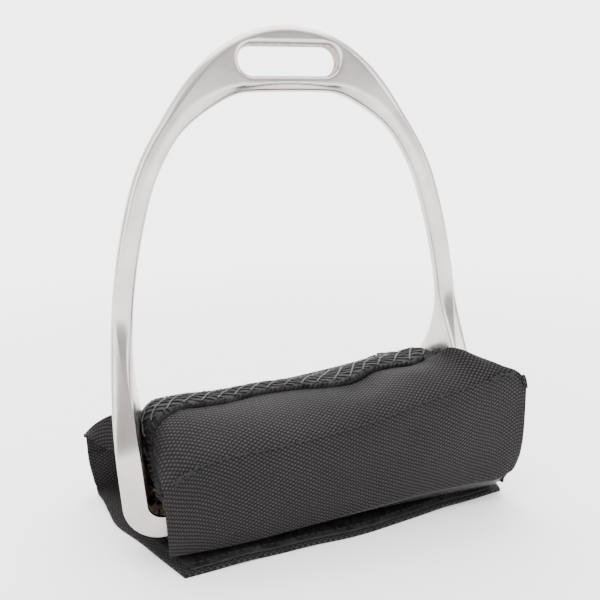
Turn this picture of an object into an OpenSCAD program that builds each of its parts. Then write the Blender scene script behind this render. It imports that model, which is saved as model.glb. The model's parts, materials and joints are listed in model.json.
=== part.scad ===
// Stirrup iron with a padded cover wrapped round its tread.
// Millimetres, +Z up. +X runs along the tread and -Y is the front, where the cover's short wing hangs.
// The origin is on the ground, under the middle of the tread.

/* [Iron] */
// Width of the tread between the branches
tread_w = 120; // [116:1:124]
// Depth of the tread, front to back
tread_depth = 42.8; // [40:0.2:44]
// Thickness of the tread bar
tread_t = 8.8; // [8:0.2:9.6]
// Thickness of a branch, seen from the front
branch_t = 7.4; // [6.6:0.2:8]
// Depth of a branch above its flare
branch_depth = 6.3; // [5.7:0.2:7.1]
// Height above the tread's underside where the branches begin to flare
flare_top = 80; // [76:1:86]
// Height of the flare itself
flare_h = 52; // [46:1:56]
// Radius of the crown, along its middle line
crown_r = 35.3; // [34:0.1:36]
// Radius of the shoulders
shoulder_r = 76; // [74:0.5:78]
// Radius of the long curve of each branch
side_r = 232; // [220:1:245]
// Radius of the bottom corners, along the middle line
corner_r = 10; // [9:0.5:12]
// Length of the straight just above each bottom corner
straight_l = 24.8; // [22:0.2:28]

/* [Leather eye] */
// Length of the slot that the stirrup leather passes through
eye_w = 35; // [30:0.5:36]
// Height of that slot
eye_h = 10; // [8:0.5:10]
// Thickness of the iron round the slot, front to back
eye_depth = 8.4; // [7:0.2:9]
// Metal left below the slot
eye_bar = 4.6; // [4:0.2:5.4]

/* [Tread rubber] */
// Length of the window in the tread
window_w = 92; // [80:1:96]
// Depth of that window
window_depth = 26; // [20:1:28]
// Thickness of the rubber that stands above the tread
rubber_t = 2.2; // [1.6:0.2:2.6]

/* [Cushion] */
// Length of the pad between the branches
pad_w = 114; // [110:1:116]
// Height of the pad's crest at its left end, above the ground
crest_left = 50.4; // [49:0.2:52]
// Height of the pad's crest at its right end
crest_right = 58; // [54:0.5:60]
// Thickness of the woven nylon, with its coating
cloth_t = 1.2; // [0.8:0.1:1.4]
// Thickness of the grip mesh
mesh_t = 1.8; // [1.4:0.1:2.2]
// Diameter of the serged edges
serge_d = 3.2; // [2.6:0.2:3.4]

/* [Wings] */
// Width of the cover's wings
wing_w = 135; // [130:1:138]
// How far each wing has twisted sideways on the tread
wing_shift = 15.5; // [12:0.5:18]
// Distance of the front fold from the middle of the tread
front_y = 27; // [26:0.5:28]
// Height of the fold lines above the ground, at the middle
fold_z = 43; // [42:0.5:44]
// Rise of the fold lines from left to right, per millimetre
fold_rise = 0.155; // [0.12:0.005:0.16]
// Depth of the bottom flap in front of its fold, at its left corner
flap_reach = 63; // [60:1:64]

/* [Fastening tapes] */
// Width of the hook strip
hook_w = 20; // [16:1:22]
// Thickness of the hook strip
hook_t = 1.2; // [1:0.1:1.4]
// Width of the loop strip
loop_w = 25; // [20:1:26]
// Thickness of the loop strip
loop_t = 1.5; // [1.2:0.1:1.7]
// Diameter of the sewing thread
thread_d = 0.8; // [0.6:0.1:0.9]

/* [Hidden] */

steel = [0.78, 0.76, 0.74];
nylon = [0.2, 0.19, 0.2];
charcoal = [0.3, 0.31, 0.32];
black = [0.09, 0.09, 0.1];

gap = 0.3;                                    // clearance between pieces that move apart
flap_top = cloth_t;                           // the bottom flap lies on the ground
loop_top = flap_top + loop_t;
stitch_proud = 0.3;                           // sewing stands this far out of a tape
hook_bottom = loop_top + stitch_proud + gap;
return_bottom = hook_bottom + hook_t;         // the front wing's return under the tread
return_top = return_bottom + cloth_t;
iron_lift = 9;                                // ground to the tread's underside
tread_top = iron_lift + tread_t;
rubber_top = tread_top + rubber_t;

crown_turn = 27.5;                            // degrees turned by the crown, the shoulder and the corner
shoulder_turn = 44.2;
lean = 1.45;                                  // the branches lean in a little towards the tread
side_turn = 90 + lean - crown_turn - shoulder_turn;
corner_turn = 90 - lean;
crown_half_t = 7.7;
crown_low = 142;                              // the branches thicken between these heights
crown_high = 161;
pad_x = pad_w / 2;
front_left = -wing_w / 2 + wing_shift;
front_right = wing_w / 2 + wing_shift;
back_left = -wing_w / 2 - wing_shift;
back_right = wing_w / 2 - wing_shift;
back_y = 31.5;                                // outer face of the back wing
wing_foot = 8;                                // the front wing's lower right corner is rounded by this
wing_drop = cloth_t + 2 * gap;                // a wing's top edge hangs this far below its fold line
slope_crown = 1.6;                            // the padded slopes bulge by this much

function ease(a, b, v) = let (t = max(0, min(1, (v - a) / (b - a)))) t * t * (3 - 2 * t);
function mix(a, b, k) = a + (b - a) * k;
function clamp(v) = max(0, min(1, v));
// The larger of two values, with the change from one to the other rounded over about r.
function larger(a, b, r) = (a + b + sqrt((a - b) * (a - b) + r * r)) / 2;
function heading_xz(h) = [sin(h), cos(h)];

// ---------------------------------------------------------------- iron
// The middle line of half the iron is walked from the crown down to the middle of the tread.
// A run is [radius, turn in degrees, steps]; radius 0 is a straight, with its length as the turn.
function walk(runs, i = 0, x = 0, z = 0, h = 0) =
    i == len(runs) ? [[x, z, h]] :
    let (r = runs[i][0], a = runs[i][1], n = runs[i][2],
         at = function (t) r > 0
             ? [x + r * (sin(h + a * t) - sin(h)), z + r * (cos(h + a * t) - cos(h)), h + a * t]
             : [x + a * t * cos(h), z - a * t * sin(h), h],
         e = at(1))
    concat([for (k = [0 : n - 1]) at(k / n)], walk(runs, i + 1, e[0], e[1], e[2]));

arch_runs = [[crown_r, crown_turn, 6], [shoulder_r, shoulder_turn, 8], [side_r, side_turn, 9],
             [0, straight_l, 4], [corner_r, corner_turn, 6]];
raw_half = walk(arch_runs);
foot = raw_half[len(raw_half) - 1];
arch_scale = (tread_w + tread_t) / 2 / (foot[0] + corner_r);   // sizes the arch to the tread
arch = [for (p = raw_half) [p[0] * arch_scale, p[1] - foot[1] + tread_t / 2, p[2]]];
tread_steps = 5;
tread_half = [for (k = [1 : tread_steps]) [arch[len(arch) - 1][0] * (1 - k / tread_steps), tread_t / 2, 180]];
half_line = concat(arch, tread_half);

// One cross-section: u points out of the arch, v is the depth. It turns from an eight-sided bar into the
// flat tread as the flare weight q goes from 0 to 1, and broadens into the eye as k goes to 1.
function half_section(p) =
    let (z = p[1],
         k = ease(crown_low, crown_high, z),
         q = 1 - ease(flare_top - flare_h, flare_top, z),
         qb = 1 - ease(flare_top - flare_h * 0.74, flare_top, z),
         w = z < flare_top ? mix(tread_t / 2, branch_t / 2, z / flare_top)
                           : mix(branch_t / 2, crown_half_t, clamp((z - crown_low) / (crown_high - crown_low))),
         wi = p[2] < crown_turn + shoulder_turn ? larger(w, (z - eye_floor) / cos(p[2]), 2) : w,
         d = mix(mix(branch_depth / 2, eye_depth / 2, k), tread_depth / 2, q),
         ridge_in = mix(mix(1.2, wi - 2.4, k), wi, q),
         ridge_out = mix(mix(1.9, w * 0.5, k), 0.3 - wi, qb))
    [[w, d * mix(0.4, 0.75, q)], [w * mix(0.8, 0.35, q), d * mix(0.78, 0.97, q)], [ridge_out, d],
     [-ridge_in, d], [-wi * mix(0.8, 1, q), d * mix(0.78, 0.985, q)], [-wi, d * mix(0.45, 0.97, q)]];
eye_z = half_line[0][1] - 3.4;                // middle of the slot
eye_floor = eye_z - eye_h / 2 - eye_bar;

function ring(p, side) =
    let (s = half_section(p), n = heading_xz(p[2]),
         all = concat([for (q = s) [q[0], -q[1]]], [for (i = [len(s) - 1 : -1 : 0]) s[i]]))
    [for (q = all) [side * (p[0] + q[0] * n[0]), q[1], p[1] + q[0] * n[1]]];
iron_rings = concat([for (p = half_line) ring(p, 1)],
                    [for (i = [len(half_line) - 2 : -1 : 1]) ring(half_line[i], -1)]);

// A closed loop of rings, each with the same number of points.
module looped(rings) {
    m = len(rings[0]);
    n = len(rings);
    faces = [for (i = [0 : n - 1], j = [0 : m - 1])
        let (a = i * m + j, b = i * m + (j + 1) % m, c = ((i + 1) % n) * m + j,
             d = ((i + 1) % n) * m + (j + 1) % m)
        each [[a, c, b], [b, c, d]]];
    polyhedron([for (r = rings) each r], faces);
}

// A solid through a row of rings, closed at both ends.
module lofted(rings) {
    m = len(rings[0]);
    n = len(rings);
    sides = [for (i = [0 : n - 2], j = [0 : m - 1])
        let (a = i * m + j, b = i * m + (j + 1) % m, c = (i + 1) * m + j, d = (i + 1) * m + (j + 1) % m)
        each [[a, c, b], [b, c, d]]];
    polyhedron([for (r = rings) each r],
               concat(sides, [[for (j = [0 : m - 1]) j]], [[for (j = [m - 1 : -1 : 0]) (n - 1) * m + j]]));
}

module eye_slot() {
    translate([0, 0, eye_z]) rotate([90, 0, 0]) {
        for (x = [-1, 1]) translate([x * (eye_w - eye_h) / 2, 0, 0])
            cylinder(d = eye_h, h = 3 * eye_depth, center = true, $fn = 64);
        cube([eye_w - eye_h, eye_h, 3 * eye_depth], center = true);
    }
}

module iron() {
    color(steel) translate([0, 0, iron_lift]) difference() {
        looped(iron_rings);
        eye_slot();
        translate([-window_w / 2, -window_depth / 2, -1]) cube([window_w, window_depth, tread_t + 2]);
    }
}

module tread_rubber() {
    plug_gap = 0.2;
    color(black) {
        translate([-52, -18, tread_top]) cube([104, 36, rubber_t]);
        translate([-window_w / 2 + plug_gap, -window_depth / 2 + plug_gap, iron_lift + 2])
            cube([window_w - 2 * plug_gap, window_depth - 2 * plug_gap, tread_t - 2 + 0.5]);
    }
}

// ---------------------------------------------------------------- cushion
function crest(x) = mix(crest_left, crest_right, ease(-20, 62, x));
function fold(x) = fold_z + fold_rise * x;
function stations(a, b, n) = [for (k = [0 : n]) mix(a, b, k / n)];

mesh_front = -3.5;                            // where the grip mesh begins and ends, front to back
mesh_back = 20.5;
slope_drop = 1.2;                             // the mesh's edges lie this far below the crest
core_front = -22;
core_back = 23;

// Height of the skin's outer face at the pad's top, from the front fold over the crest to the back fold.
function slope_bulge(t) = 4 * slope_crown * t * (1 - t);
function skin_z(x, y) = y < mesh_front
    ? let (t = (mesh_front - y) / (front_y + mesh_front)) mix(crest(x) - slope_drop, fold(x), t) + slope_bulge(t)
    : y > mesh_back ? mix(crest(x) - slope_drop, fold(x), (y - mesh_back) / (back_y - mesh_back))
    : crest(x) - slope_drop * pow((y - (mesh_front + mesh_back) / 2) / ((mesh_back - mesh_front) / 2), 2);

// A strip of the skin: its outer face follows skin_z over the given depths.
module skin_strip(x0, x1, ys, t, n = 12) {
    lofted([for (x = stations(x0, x1, n)) concat(
        [for (y = ys) [x, y, skin_z(x, y)]],
        [for (i = [len(ys) - 1 : -1 : 0]) [x, ys[i], skin_z(x, ys[i]) - t]])]);
}

module foam_core() {
    clear = cloth_t + 1;
    ys = [core_front, -12, mesh_front, 2, 8, 14, mesh_back, core_back];
    color([0.85, 0.83, 0.75]) lofted([for (x = stations(-pad_x + 3, pad_x - 3, 12)) concat(
        [for (y = ys) [x, y, skin_z(x, y) - clear]],
        [[x, core_back, rubber_top + 1.5], [x, core_front, rubber_top + 1.5]])]);
}

module pocket_base() {
    color(nylon) translate([-pad_x + 2, core_front - 1, rubber_top + 0.2])
        cube([pad_w - 4, core_back - core_front + 2, 1]);
}

module grip_mesh() {
    color(charcoal) skin_strip(-pad_x, pad_x, [mesh_front + 1.8, 2, 5, 8.5, 12, 15, mesh_back - 1.8], mesh_t);
}

// Past the pad's right end the front slope is only an ear, in front of the branch.
ear_x = pad_x - gap;
ear_back = -17.5;
edge = 2;                                     // a slope stops this far from the middle of a serged edge
module front_slope() {
    color(nylon) lofted([for (x = concat(stations(front_left, ear_x, 12), stations(ear_x + 0.6, front_right, 3)))
        let (y0 = -front_y + gap, y1 = x > ear_x ? ear_back : mesh_front - edge,
             ys = [y0, mix(y0, y1, 0.33), mix(y0, y1, 0.67), y1])
        concat([for (y = ys) [x, y, skin_z(x, y)]],
               [for (i = [3 : -1 : 0]) [x, ys[i], skin_z(x, ys[i]) - cloth_t]])]);
}

module back_slope() {
    color(nylon) skin_strip(-pad_x, back_right, [mesh_back + edge, 26, back_y - gap], cloth_t);
}

// A serged edge is a fat rounded bar: here it follows the skin along one depth.
module serged_along(y, x0, x1, sink) {
    r = serge_d / 2;
    color(charcoal) lofted([for (x = stations(x0, x1, 12))
        [for (a = [0 : 45 : 315]) [x, y + r * sin(a), skin_z(x, y) - sink + r * cos(a)]]]);
}
module serged_front() serged_along(mesh_front, -pad_x, pad_x, 0.2);
module serged_back() serged_along(mesh_back, -pad_x, pad_x, 0.2);

// The end edges run down the pad's rounded ends, from the serged edges along the top.
module serged_end(side) {
    r = serge_d / 2;
    x = side * (pad_x + 0.6);
    top = skin_z(side * pad_x, -8) - 3;
    color(charcoal) lofted([for (k = [0 : 4]) let (z = mix(rubber_top + 2, top, k / 4), y = mix(-18, -8, k / 4))
        [for (a = [0 : 45 : 315]) [x + r * sin(a) * side * 0.8, y + r * cos(a) * side, z]]]);
}
module serged_left() serged_end(-1);
module serged_right() serged_end(1);

// ---------------------------------------------------------------- sewing
// A row of lockstitches as one raised line, lying on the skin just above a fold.
skin_clear = 0.1;
module stitch_line(x0, x1, y) {
    r = thread_d / 2;
    color(black) lofted([for (x = stations(x0, x1, 2))
        let (z = max(skin_z(x, y - r), skin_z(x, y + r)) + r + skin_clear)
        [for (a = [0 : 45 : 315]) [x, y + r * sin(a), z + r * cos(a)]]]);
}
stitch_front_y = -front_y + 1.6;
stitch_back_y = back_y - 1.6;
tack_w = 8;
module topstitch_front() stitch_line(front_left + tack_w + 1, front_right - tack_w - 1, stitch_front_y);
module topstitch_back() stitch_line(-pad_x + tack_w + 1, back_right - tack_w - 1, stitch_back_y);

tack_t = 0.9;
module bartack(x, y) {
    color(black) lofted([for (dx = [-tack_w / 2, tack_w / 2])
        [for (q = [[-1, 0], [-1, 1], [0.7, 1], [0.7, 0]])
            [x + dx, y + q[0], skin_z(x + dx, y + q[0]) + skin_clear + q[1] * tack_t]]]);
}
module bartack_front_left() bartack(front_left + 5, stitch_front_y);
module bartack_front_right() bartack(front_right - 5, stitch_front_y);
module bartack_back_left() bartack(-pad_x + 5, stitch_back_y);
module bartack_back_right() bartack(back_right - 5, stitch_back_y);

// ---------------------------------------------------------------- wings
// A hanging wing's outline in X and Z: its top follows the fold and its lower corners are rounded.
module wing_outline(x0, x1, foot_z) {
    hull() {
        translate([x0 + 2, foot_z]) square([wing_foot, 1]);
        translate([x1 - wing_foot, foot_z + wing_foot]) circle(wing_foot, $fn = 32);
        polygon([[x0, fold(x0) - wing_drop], [x1, fold(x1) - wing_drop], [x1, fold(x1) - 12],
                 [x0, fold(x0) - 12]]);
    }
}

module front_wing() {
    color(nylon) {
        translate([0, -front_y + cloth_t, 0]) rotate([90, 0, 0])
            linear_extrude(cloth_t) wing_outline(front_left, front_right, return_bottom);
        translate([front_left + 2, -front_y, return_bottom])
            cube([wing_w - 14, hook_w + 3, cloth_t]);
    }
}

module hook_strip() {
    color(black) translate([front_left + 2, -front_y + 2, hook_bottom]) cube([wing_w - 8, hook_w, hook_t]);
}

// A fine ridge of thread along both edges of a tape.
module tape_stitching(x0, length, y0, y1, z) {
    color(black) for (y = [y0, y1]) translate([x0, y, z]) cube([length, thread_d, stitch_proud]);
}
module hook_stitching() tape_stitching(front_left + 4, wing_w - 18, -front_y + 4, -front_y + hook_w, return_top);

module back_wing() {
    color(nylon) translate([0, back_y, 0]) rotate([90, 0, 0])
        linear_extrude(cloth_t)
            polygon([[back_left, flap_top + gap], [back_left, fold(back_left) - wing_drop],
                     [back_right, fold(back_right) - wing_drop], [back_right, flap_top + gap]]);
}

// The flap lies on the ground. Its left front corner is cut away and its front edge draws back to the right.
flap_front = back_y - flap_reach;
module flap_outline() {
    polygon([[back_left, back_y], [back_left + 1.5, 17], [back_left + 6, 8], [-66, -8], [front_left + 2, flap_front],
             [-8, flap_front + 2], [16, flap_front + 3], [42, flap_front + 6.5], [front_right - 1.5, -20],
             [front_right, -17], [back_right + 16, back_y - 6], [back_right, back_y]]);
}
module bottom_flap() {
    color(nylon) linear_extrude(cloth_t) flap_outline();
}

module loop_strip() {
    y0 = flap_front + 3.6;
    color(black) translate([0, 0, flap_top]) linear_extrude(loop_t)
        polygon([[front_left + 3, y0], [-8, y0 + 2], [16, y0 + 3], [42, y0 + 6.5], [front_right - 5, -15],
                 [front_right - 5, -15 + loop_w - 8], [42, y0 + loop_w], [front_left + 3, y0 + loop_w]]);
}
module loop_stitching() tape_stitching(front_left + 6, 64, -24, -7, loop_top);

iron();
tread_rubber();
foam_core();
pocket_base();
grip_mesh();
front_slope();
back_slope();
serged_front();
serged_back();
serged_left();
serged_right();
topstitch_front();
topstitch_back();
bartack_front_left();
bartack_front_right();
bartack_back_left();
bartack_back_right();
front_wing();
hook_strip();
hook_stitching();
back_wing();
bottom_flap();
loop_strip();
loop_stitching();
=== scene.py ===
import json
import math

import bmesh
import bpy
import numpy as np
from mathutils import Matrix, Vector

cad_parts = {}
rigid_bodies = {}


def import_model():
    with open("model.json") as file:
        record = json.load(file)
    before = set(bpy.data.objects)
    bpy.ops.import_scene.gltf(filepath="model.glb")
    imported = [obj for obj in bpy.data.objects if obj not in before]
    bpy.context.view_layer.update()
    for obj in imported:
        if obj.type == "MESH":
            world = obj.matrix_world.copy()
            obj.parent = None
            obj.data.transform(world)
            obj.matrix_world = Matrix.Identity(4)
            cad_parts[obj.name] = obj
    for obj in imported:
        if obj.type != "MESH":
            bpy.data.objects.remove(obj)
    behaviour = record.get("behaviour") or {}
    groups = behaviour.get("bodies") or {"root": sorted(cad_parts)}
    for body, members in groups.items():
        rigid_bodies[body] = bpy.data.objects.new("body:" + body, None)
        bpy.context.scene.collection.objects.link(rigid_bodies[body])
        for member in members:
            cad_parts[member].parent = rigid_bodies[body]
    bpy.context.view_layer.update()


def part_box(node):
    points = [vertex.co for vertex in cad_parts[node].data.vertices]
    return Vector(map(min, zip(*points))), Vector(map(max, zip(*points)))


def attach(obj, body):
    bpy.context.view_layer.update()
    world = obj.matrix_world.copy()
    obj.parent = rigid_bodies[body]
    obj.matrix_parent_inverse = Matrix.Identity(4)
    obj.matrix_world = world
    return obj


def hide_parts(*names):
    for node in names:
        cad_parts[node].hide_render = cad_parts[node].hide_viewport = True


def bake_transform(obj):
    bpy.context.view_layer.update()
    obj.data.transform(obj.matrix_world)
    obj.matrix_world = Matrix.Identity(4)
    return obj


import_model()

MM = 0.001

# ---------------------------------------------------------------- camera, floor and light
# The eye stands a little left of the middle and looks down on the tread at about fifteen degrees.
cam_data = bpy.data.cameras.new("camera")
cam_data.lens = 34.2
cam_data.sensor_width = 36.0
camera = bpy.data.objects.new("camera", cam_data)
bpy.context.scene.collection.objects.link(camera)
yaw, pitch, roll = 0.251992, 0.265675, -0.026887
ahead = Vector((math.sin(yaw) * math.cos(pitch), math.cos(yaw) * math.cos(pitch), -math.sin(pitch)))
level = Vector((math.cos(yaw), -math.sin(yaw), 0))
over = level.cross(ahead)
right = level * math.cos(roll) + over * math.sin(roll)
up = over * math.cos(roll) - level * math.sin(roll)
camera.matrix_world = Matrix.Translation((-0.04993, -0.20255, 0.14330)) @ Matrix(
    (right, up, -ahead)).transposed().to_4x4()
cam_data.clip_start = 0.01
bpy.context.scene.camera = camera

world = bpy.data.worlds.new("studio")
bpy.context.scene.world = world
world.use_nodes = True
sky = world.node_tree.nodes
direction = sky.new("ShaderNodeTexCoord")
parts = sky.new("ShaderNodeSeparateXYZ")
shade = sky.new("ShaderNodeValToRGB")
world.node_tree.links.new(direction.outputs["Generated"], parts.inputs[0])
shift = sky.new("ShaderNodeMath")
shift.operation = "MULTIPLY_ADD"
shift.inputs[1].default_value = shift.inputs[2].default_value = 0.5
world.node_tree.links.new(parts.outputs[1], shift.inputs[0])
world.node_tree.links.new(shift.outputs[0], shade.inputs[0])
shade.color_ramp.elements[0].position, shade.color_ramp.elements[0].color = 0.50, (0, 0, 0, 1)
shade.color_ramp.elements[1].position, shade.color_ramp.elements[1].color = 0.74, (1, 1, 1, 1)
# Towards the front the room is grey, dimmest from just above the lens to halfway up, and lighter overhead.
raised = sky.new("ShaderNodeMath")
raised.operation = "MULTIPLY_ADD"
raised.inputs[1].default_value = raised.inputs[2].default_value = 0.5
world.node_tree.links.new(parts.outputs[2], raised.inputs[0])
room = sky.new("ShaderNodeValToRGB")
world.node_tree.links.new(raised.outputs[0], room.inputs[0])
for rise, grey in ((0.30, 0.42), (0.46, 0.38), (0.60, 0.22), (0.72, 0.22), (0.84, 0.45)):
    stop = room.color_ramp.elements.new(rise)
    stop.color = (grey, grey * 0.98, grey * 0.965, 1)
room.color_ramp.elements[0].color = (0.42, 0.41, 0.40, 1)
room.color_ramp.elements[-1].color = (0.50, 0.49, 0.48, 1)
joined = sky.new("ShaderNodeMix")
joined.data_type = "RGBA"
world.node_tree.links.new(shade.outputs[0], joined.inputs[0])
world.node_tree.links.new(room.outputs[0], joined.inputs[6])
joined.inputs[7].default_value = (1, 1, 1, 1)
world.node_tree.links.new(joined.outputs[2], sky["Background"].inputs["Color"])
GLOW = 4.6                                    # the brightness of the wall of light, and of the far paper
sky["Background"].inputs["Strength"].default_value = GLOW


def softbox(name, place, aim, width, height, watts, tint=(1, 1, 1)):
    """A rectangular lamp at a place, turned towards its aim."""
    data = bpy.data.lights.new(name, "AREA")
    data.shape, data.size, data.size_y = "RECTANGLE", width, height
    data.energy, data.color = watts, tint
    lamp = bpy.data.objects.new(name, data)
    bpy.context.scene.collection.objects.link(lamp)
    lamp.location = place
    lamp.rotation_euler = (Vector(aim) - Vector(place)).to_track_quat("-Z", "Y").to_euler()


softbox("top_softbox", (0.0, 0.05, 0.85), (0, 0, 0.05), 0.9, 0.7, 9.0)
softbox("left_softbox", (-0.75, -0.35, 0.40), (0, 0, 0.07), 0.5, 0.6, 4.0, (1.0, 0.97, 0.95))
softbox("right_softbox", (0.75, -0.45, 0.45), (0, 0, 0.07), 0.5, 0.6, 4.0)

# The paper near the object takes its shadow; further off it glows as brightly as the wall of light behind.
floor_mat = bpy.data.materials.new("paper_floor")
floor_mat.use_nodes = True
paper = floor_mat.node_tree
paper.nodes["Principled BSDF"].inputs["Base Color"].default_value = (0.95, 0.95, 0.95, 1)
paper.nodes["Principled BSDF"].inputs["Roughness"].default_value = 0.9
spot = paper.nodes.new("ShaderNodeTexCoord")
reach = paper.nodes.new("ShaderNodeVectorMath")
reach.operation = "LENGTH"
fade = paper.nodes.new("ShaderNodeMapRange")
fade.interpolation_type = "SMOOTHSTEP"
fade.inputs["From Min"].default_value, fade.inputs["From Max"].default_value = 0.14, 0.55
glow = paper.nodes.new("ShaderNodeEmission")
glow.inputs["Strength"].default_value = GLOW
both = paper.nodes.new("ShaderNodeMixShader")
paper.links.new(spot.outputs["Object"], reach.inputs[0])
paper.links.new(reach.outputs["Value"], fade.inputs["Value"])
paper.links.new(fade.outputs[0], both.inputs[0])
paper.links.new(paper.nodes["Principled BSDF"].outputs[0], both.inputs[1])
paper.links.new(glow.outputs[0], both.inputs[2])
paper.links.new(both.outputs[0], paper.nodes["Material Output"].inputs[0])
floor_mesh = bpy.data.meshes.new("floor")
FLOOR_HALF = 30.0
floor_mesh.from_pydata([(x * FLOOR_HALF, y * FLOOR_HALF, 0) for x, y in ((-1, -1), (1, -1), (1, 1), (-1, 1))], [],
                       [(0, 1, 2, 3)])
floor_mesh.materials.append(floor_mat)
floor = bpy.data.objects.new("floor", floor_mesh)
bpy.context.scene.collection.objects.link(floor)

# ---------------------------------------------------------------- stirrup iron
# A cast stainless iron, ground and satin polished all over except inside the eye, where it is as cast.
# Half of its middle line is walked from the crown to the middle of the tread; a section is set at each step.
TREAD_W, TREAD_DEPTH, TREAD_T, IRON_LIFT = 120.0, 42.8, 8.8, 9.0
BRANCH_T, BRANCH_DEPTH, FLARE_TOP, FLARE_H = 7.4, 6.3, 80.0, 52.0
EYE_W, EYE_H, EYE_DEPTH, EYE_BAR, EYE_DROP = 35.0, 10.0, 8.4, 4.6, 3.4
CROWN_HALF_T, CROWN_LOW, CROWN_HIGH = 7.7, 142.0, 161.0
CROWN_R, SHOULDER_R, SIDE_R, STRAIGHT, CORNER_R = 35.3, 76.0, 232.0, 24.8, 10.0
LEAN, CROWN_TURN, SHOULDER_TURN = 1.45, 27.5, 44.2
# Each run of the middle line: a radius and the degrees that it turns, or 0 and a straight length.
RUNS = [(CROWN_R, CROWN_TURN), (SHOULDER_R, SHOULDER_TURN), (SIDE_R, 90 + LEAN - CROWN_TURN - SHOULDER_TURN),
        (0, STRAIGHT), (CORNER_R, 90 - LEAN)]
STEP = 0.1


def ease(a, b, v):
    """0 below a, 1 above b, and a soft step between them."""
    t = np.clip((v - a) / (b - a), 0, 1)
    return t * t * (3 - 2 * t)


def mix(a, b, k):
    """The value that lies the share k of the way from a to b."""
    return a + (b - a) * k


walked = []
x = z = heading = 0.0
for radius, amount in RUNS:
    length = math.radians(amount) * radius if radius else amount
    paces = round(length / STEP)
    for k in range(paces):
        turn = (math.degrees(STEP / radius) if radius else 0) * length / (STEP * paces)
        walked.append((x, z, heading))
        h = math.radians(heading + turn / 2)
        x += STEP * math.cos(h) * length / (STEP * paces)
        z -= STEP * math.sin(h) * length / (STEP * paces)
        heading += turn
walked = np.array(walked)
arch_scale = (TREAD_W + TREAD_T) / 2 / (walked[-1, 0] + CORNER_R)
walked[:, 0] *= arch_scale
walked[:, 1] += TREAD_T / 2 - walked[-1, 1]
tread_run = np.arange(walked[-1, 0] - STEP, -STEP / 2, -STEP)
walked = np.vstack([walked, np.column_stack([tread_run, np.full(len(tread_run), TREAD_T / 2),
                                             np.full(len(tread_run), 180.0)])])
EYE_Z = walked[0, 1] - EYE_DROP
EYE_FLOOR = EYE_Z - EYE_H / 2 - EYE_BAR
LIP = 1.5                                     # how far the eye's rounded lip reaches into the front face


def iron_section(z, h):
    """The section's twelve corners at a height and heading, outwards and backwards, and each one's rounding."""
    k = ease(CROWN_LOW, CROWN_HIGH, z)
    q = 1 - ease(FLARE_TOP - FLARE_H, FLARE_TOP, z)
    qb = 1 - ease(FLARE_TOP - FLARE_H * 0.74, FLARE_TOP, z)
    w = (mix(TREAD_T / 2, BRANCH_T / 2, z / FLARE_TOP) if z < FLARE_TOP else
         mix(BRANCH_T / 2, CROWN_HALF_T, ease(CROWN_LOW - 4, CROWN_HIGH + 3, z)))
    wi = w
    if h < CROWN_TURN + SHOULDER_TURN:
        floor_w = (z - EYE_FLOOR) / math.cos(math.radians(h))
        wi = (w + floor_w + math.sqrt((w - floor_w) ** 2 + 4)) / 2
    d = mix(mix(BRANCH_DEPTH / 2, EYE_DEPTH / 2, k), TREAD_DEPTH / 2, q)
    ridge_in = mix(mix(1.2, wi - 2.4, k), wi, q)
    ridge_out = mix(mix(1.9, w * 0.72, k), 0.3 - wi, qb)
    shoulder = mix(mix(0.8, 0.92, k), 0.88, q)
    half = [(w, d * mix(0.4, 0.95, q)), (w * shoulder, d * mix(0.78, 0.995, q)), (ridge_out, d),
            (-ridge_in, d), (-wi * mix(0.8, 1, q), d * mix(0.78, 0.985, q)),
            (-wi, d * mix(0.45, 0.97, q))]
    reach = [9, 9, mix(0.35, 0.5, k), mix(1.2, 0.5, k), 9, 9]
    return np.array([(u, -v) for u, v in half] + half[::-1]), np.array(reach + reach[::-1])


CUTS = np.linspace(0, 1, 5)
STRIP = 3                                     # columns between a ridge and the eye's lip


def toward(here, there, reach):
    """A point on the way to the next corner, at most that far and short of the middle."""
    return here + (there - here) * min(0.46, reach / max(np.linalg.norm(there - here), 1e-6))


def rounded_ring(corners, reach):
    """The ring with each corner cut by a parabola, and with extra columns along the front and back strips."""
    out = []
    n = len(corners)
    for k in range(n):
        here, after = corners[k], corners[(k + 1) % n]
        a, b = toward(here, corners[k - 1], reach[k]), toward(here, after, reach[k])
        out += [(1 - t) ** 2 * a + 2 * t * (1 - t) * here + t * t * b for t in CUTS]
        if k in (2, 8):
            goal = toward(after, here, reach[(k + 1) % n])
            out += [mix(b, goal, t) for t in np.linspace(0, 1, 2 * STRIP + 3)[1:-1]]
    return np.array(out)


# The eye's lip is a long round-ended loop. Each of its points is a foot plus a radius along a direction.
# A ring opens along it, from the middle of the crown to where the loop's end runs along a ring.
eye_centre = (EYE_W - EYE_H) / 2
lip_r = EYE_H / 2 + LIP
ROUND = 10                                    # points round each quarter of the eye's end
ends = np.radians(np.linspace(90, -30, ROUND)), np.radians(np.linspace(-90, -30, ROUND))
lip_feet = list(np.linspace(0, eye_centre, ROUND)[:-1]) + [eye_centre] * ROUND
lip_dirs = {True: [(0.0, 1.0)] * (ROUND - 1) + [(math.cos(a), math.sin(a)) for a in ends[0]],
            False: [(0.0, -1.0)] * (ROUND - 1) + [(math.cos(a), math.sin(a)) for a in ends[1]]}
n_eye = len(lip_feet)


def lip_point(i, top, r=lip_r):
    """The lip's point i, on its upper or its lower half."""
    dx, dz = lip_dirs[top][i]
    return lip_feet[i] + r * dx, EYE_Z + r * dz


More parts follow.
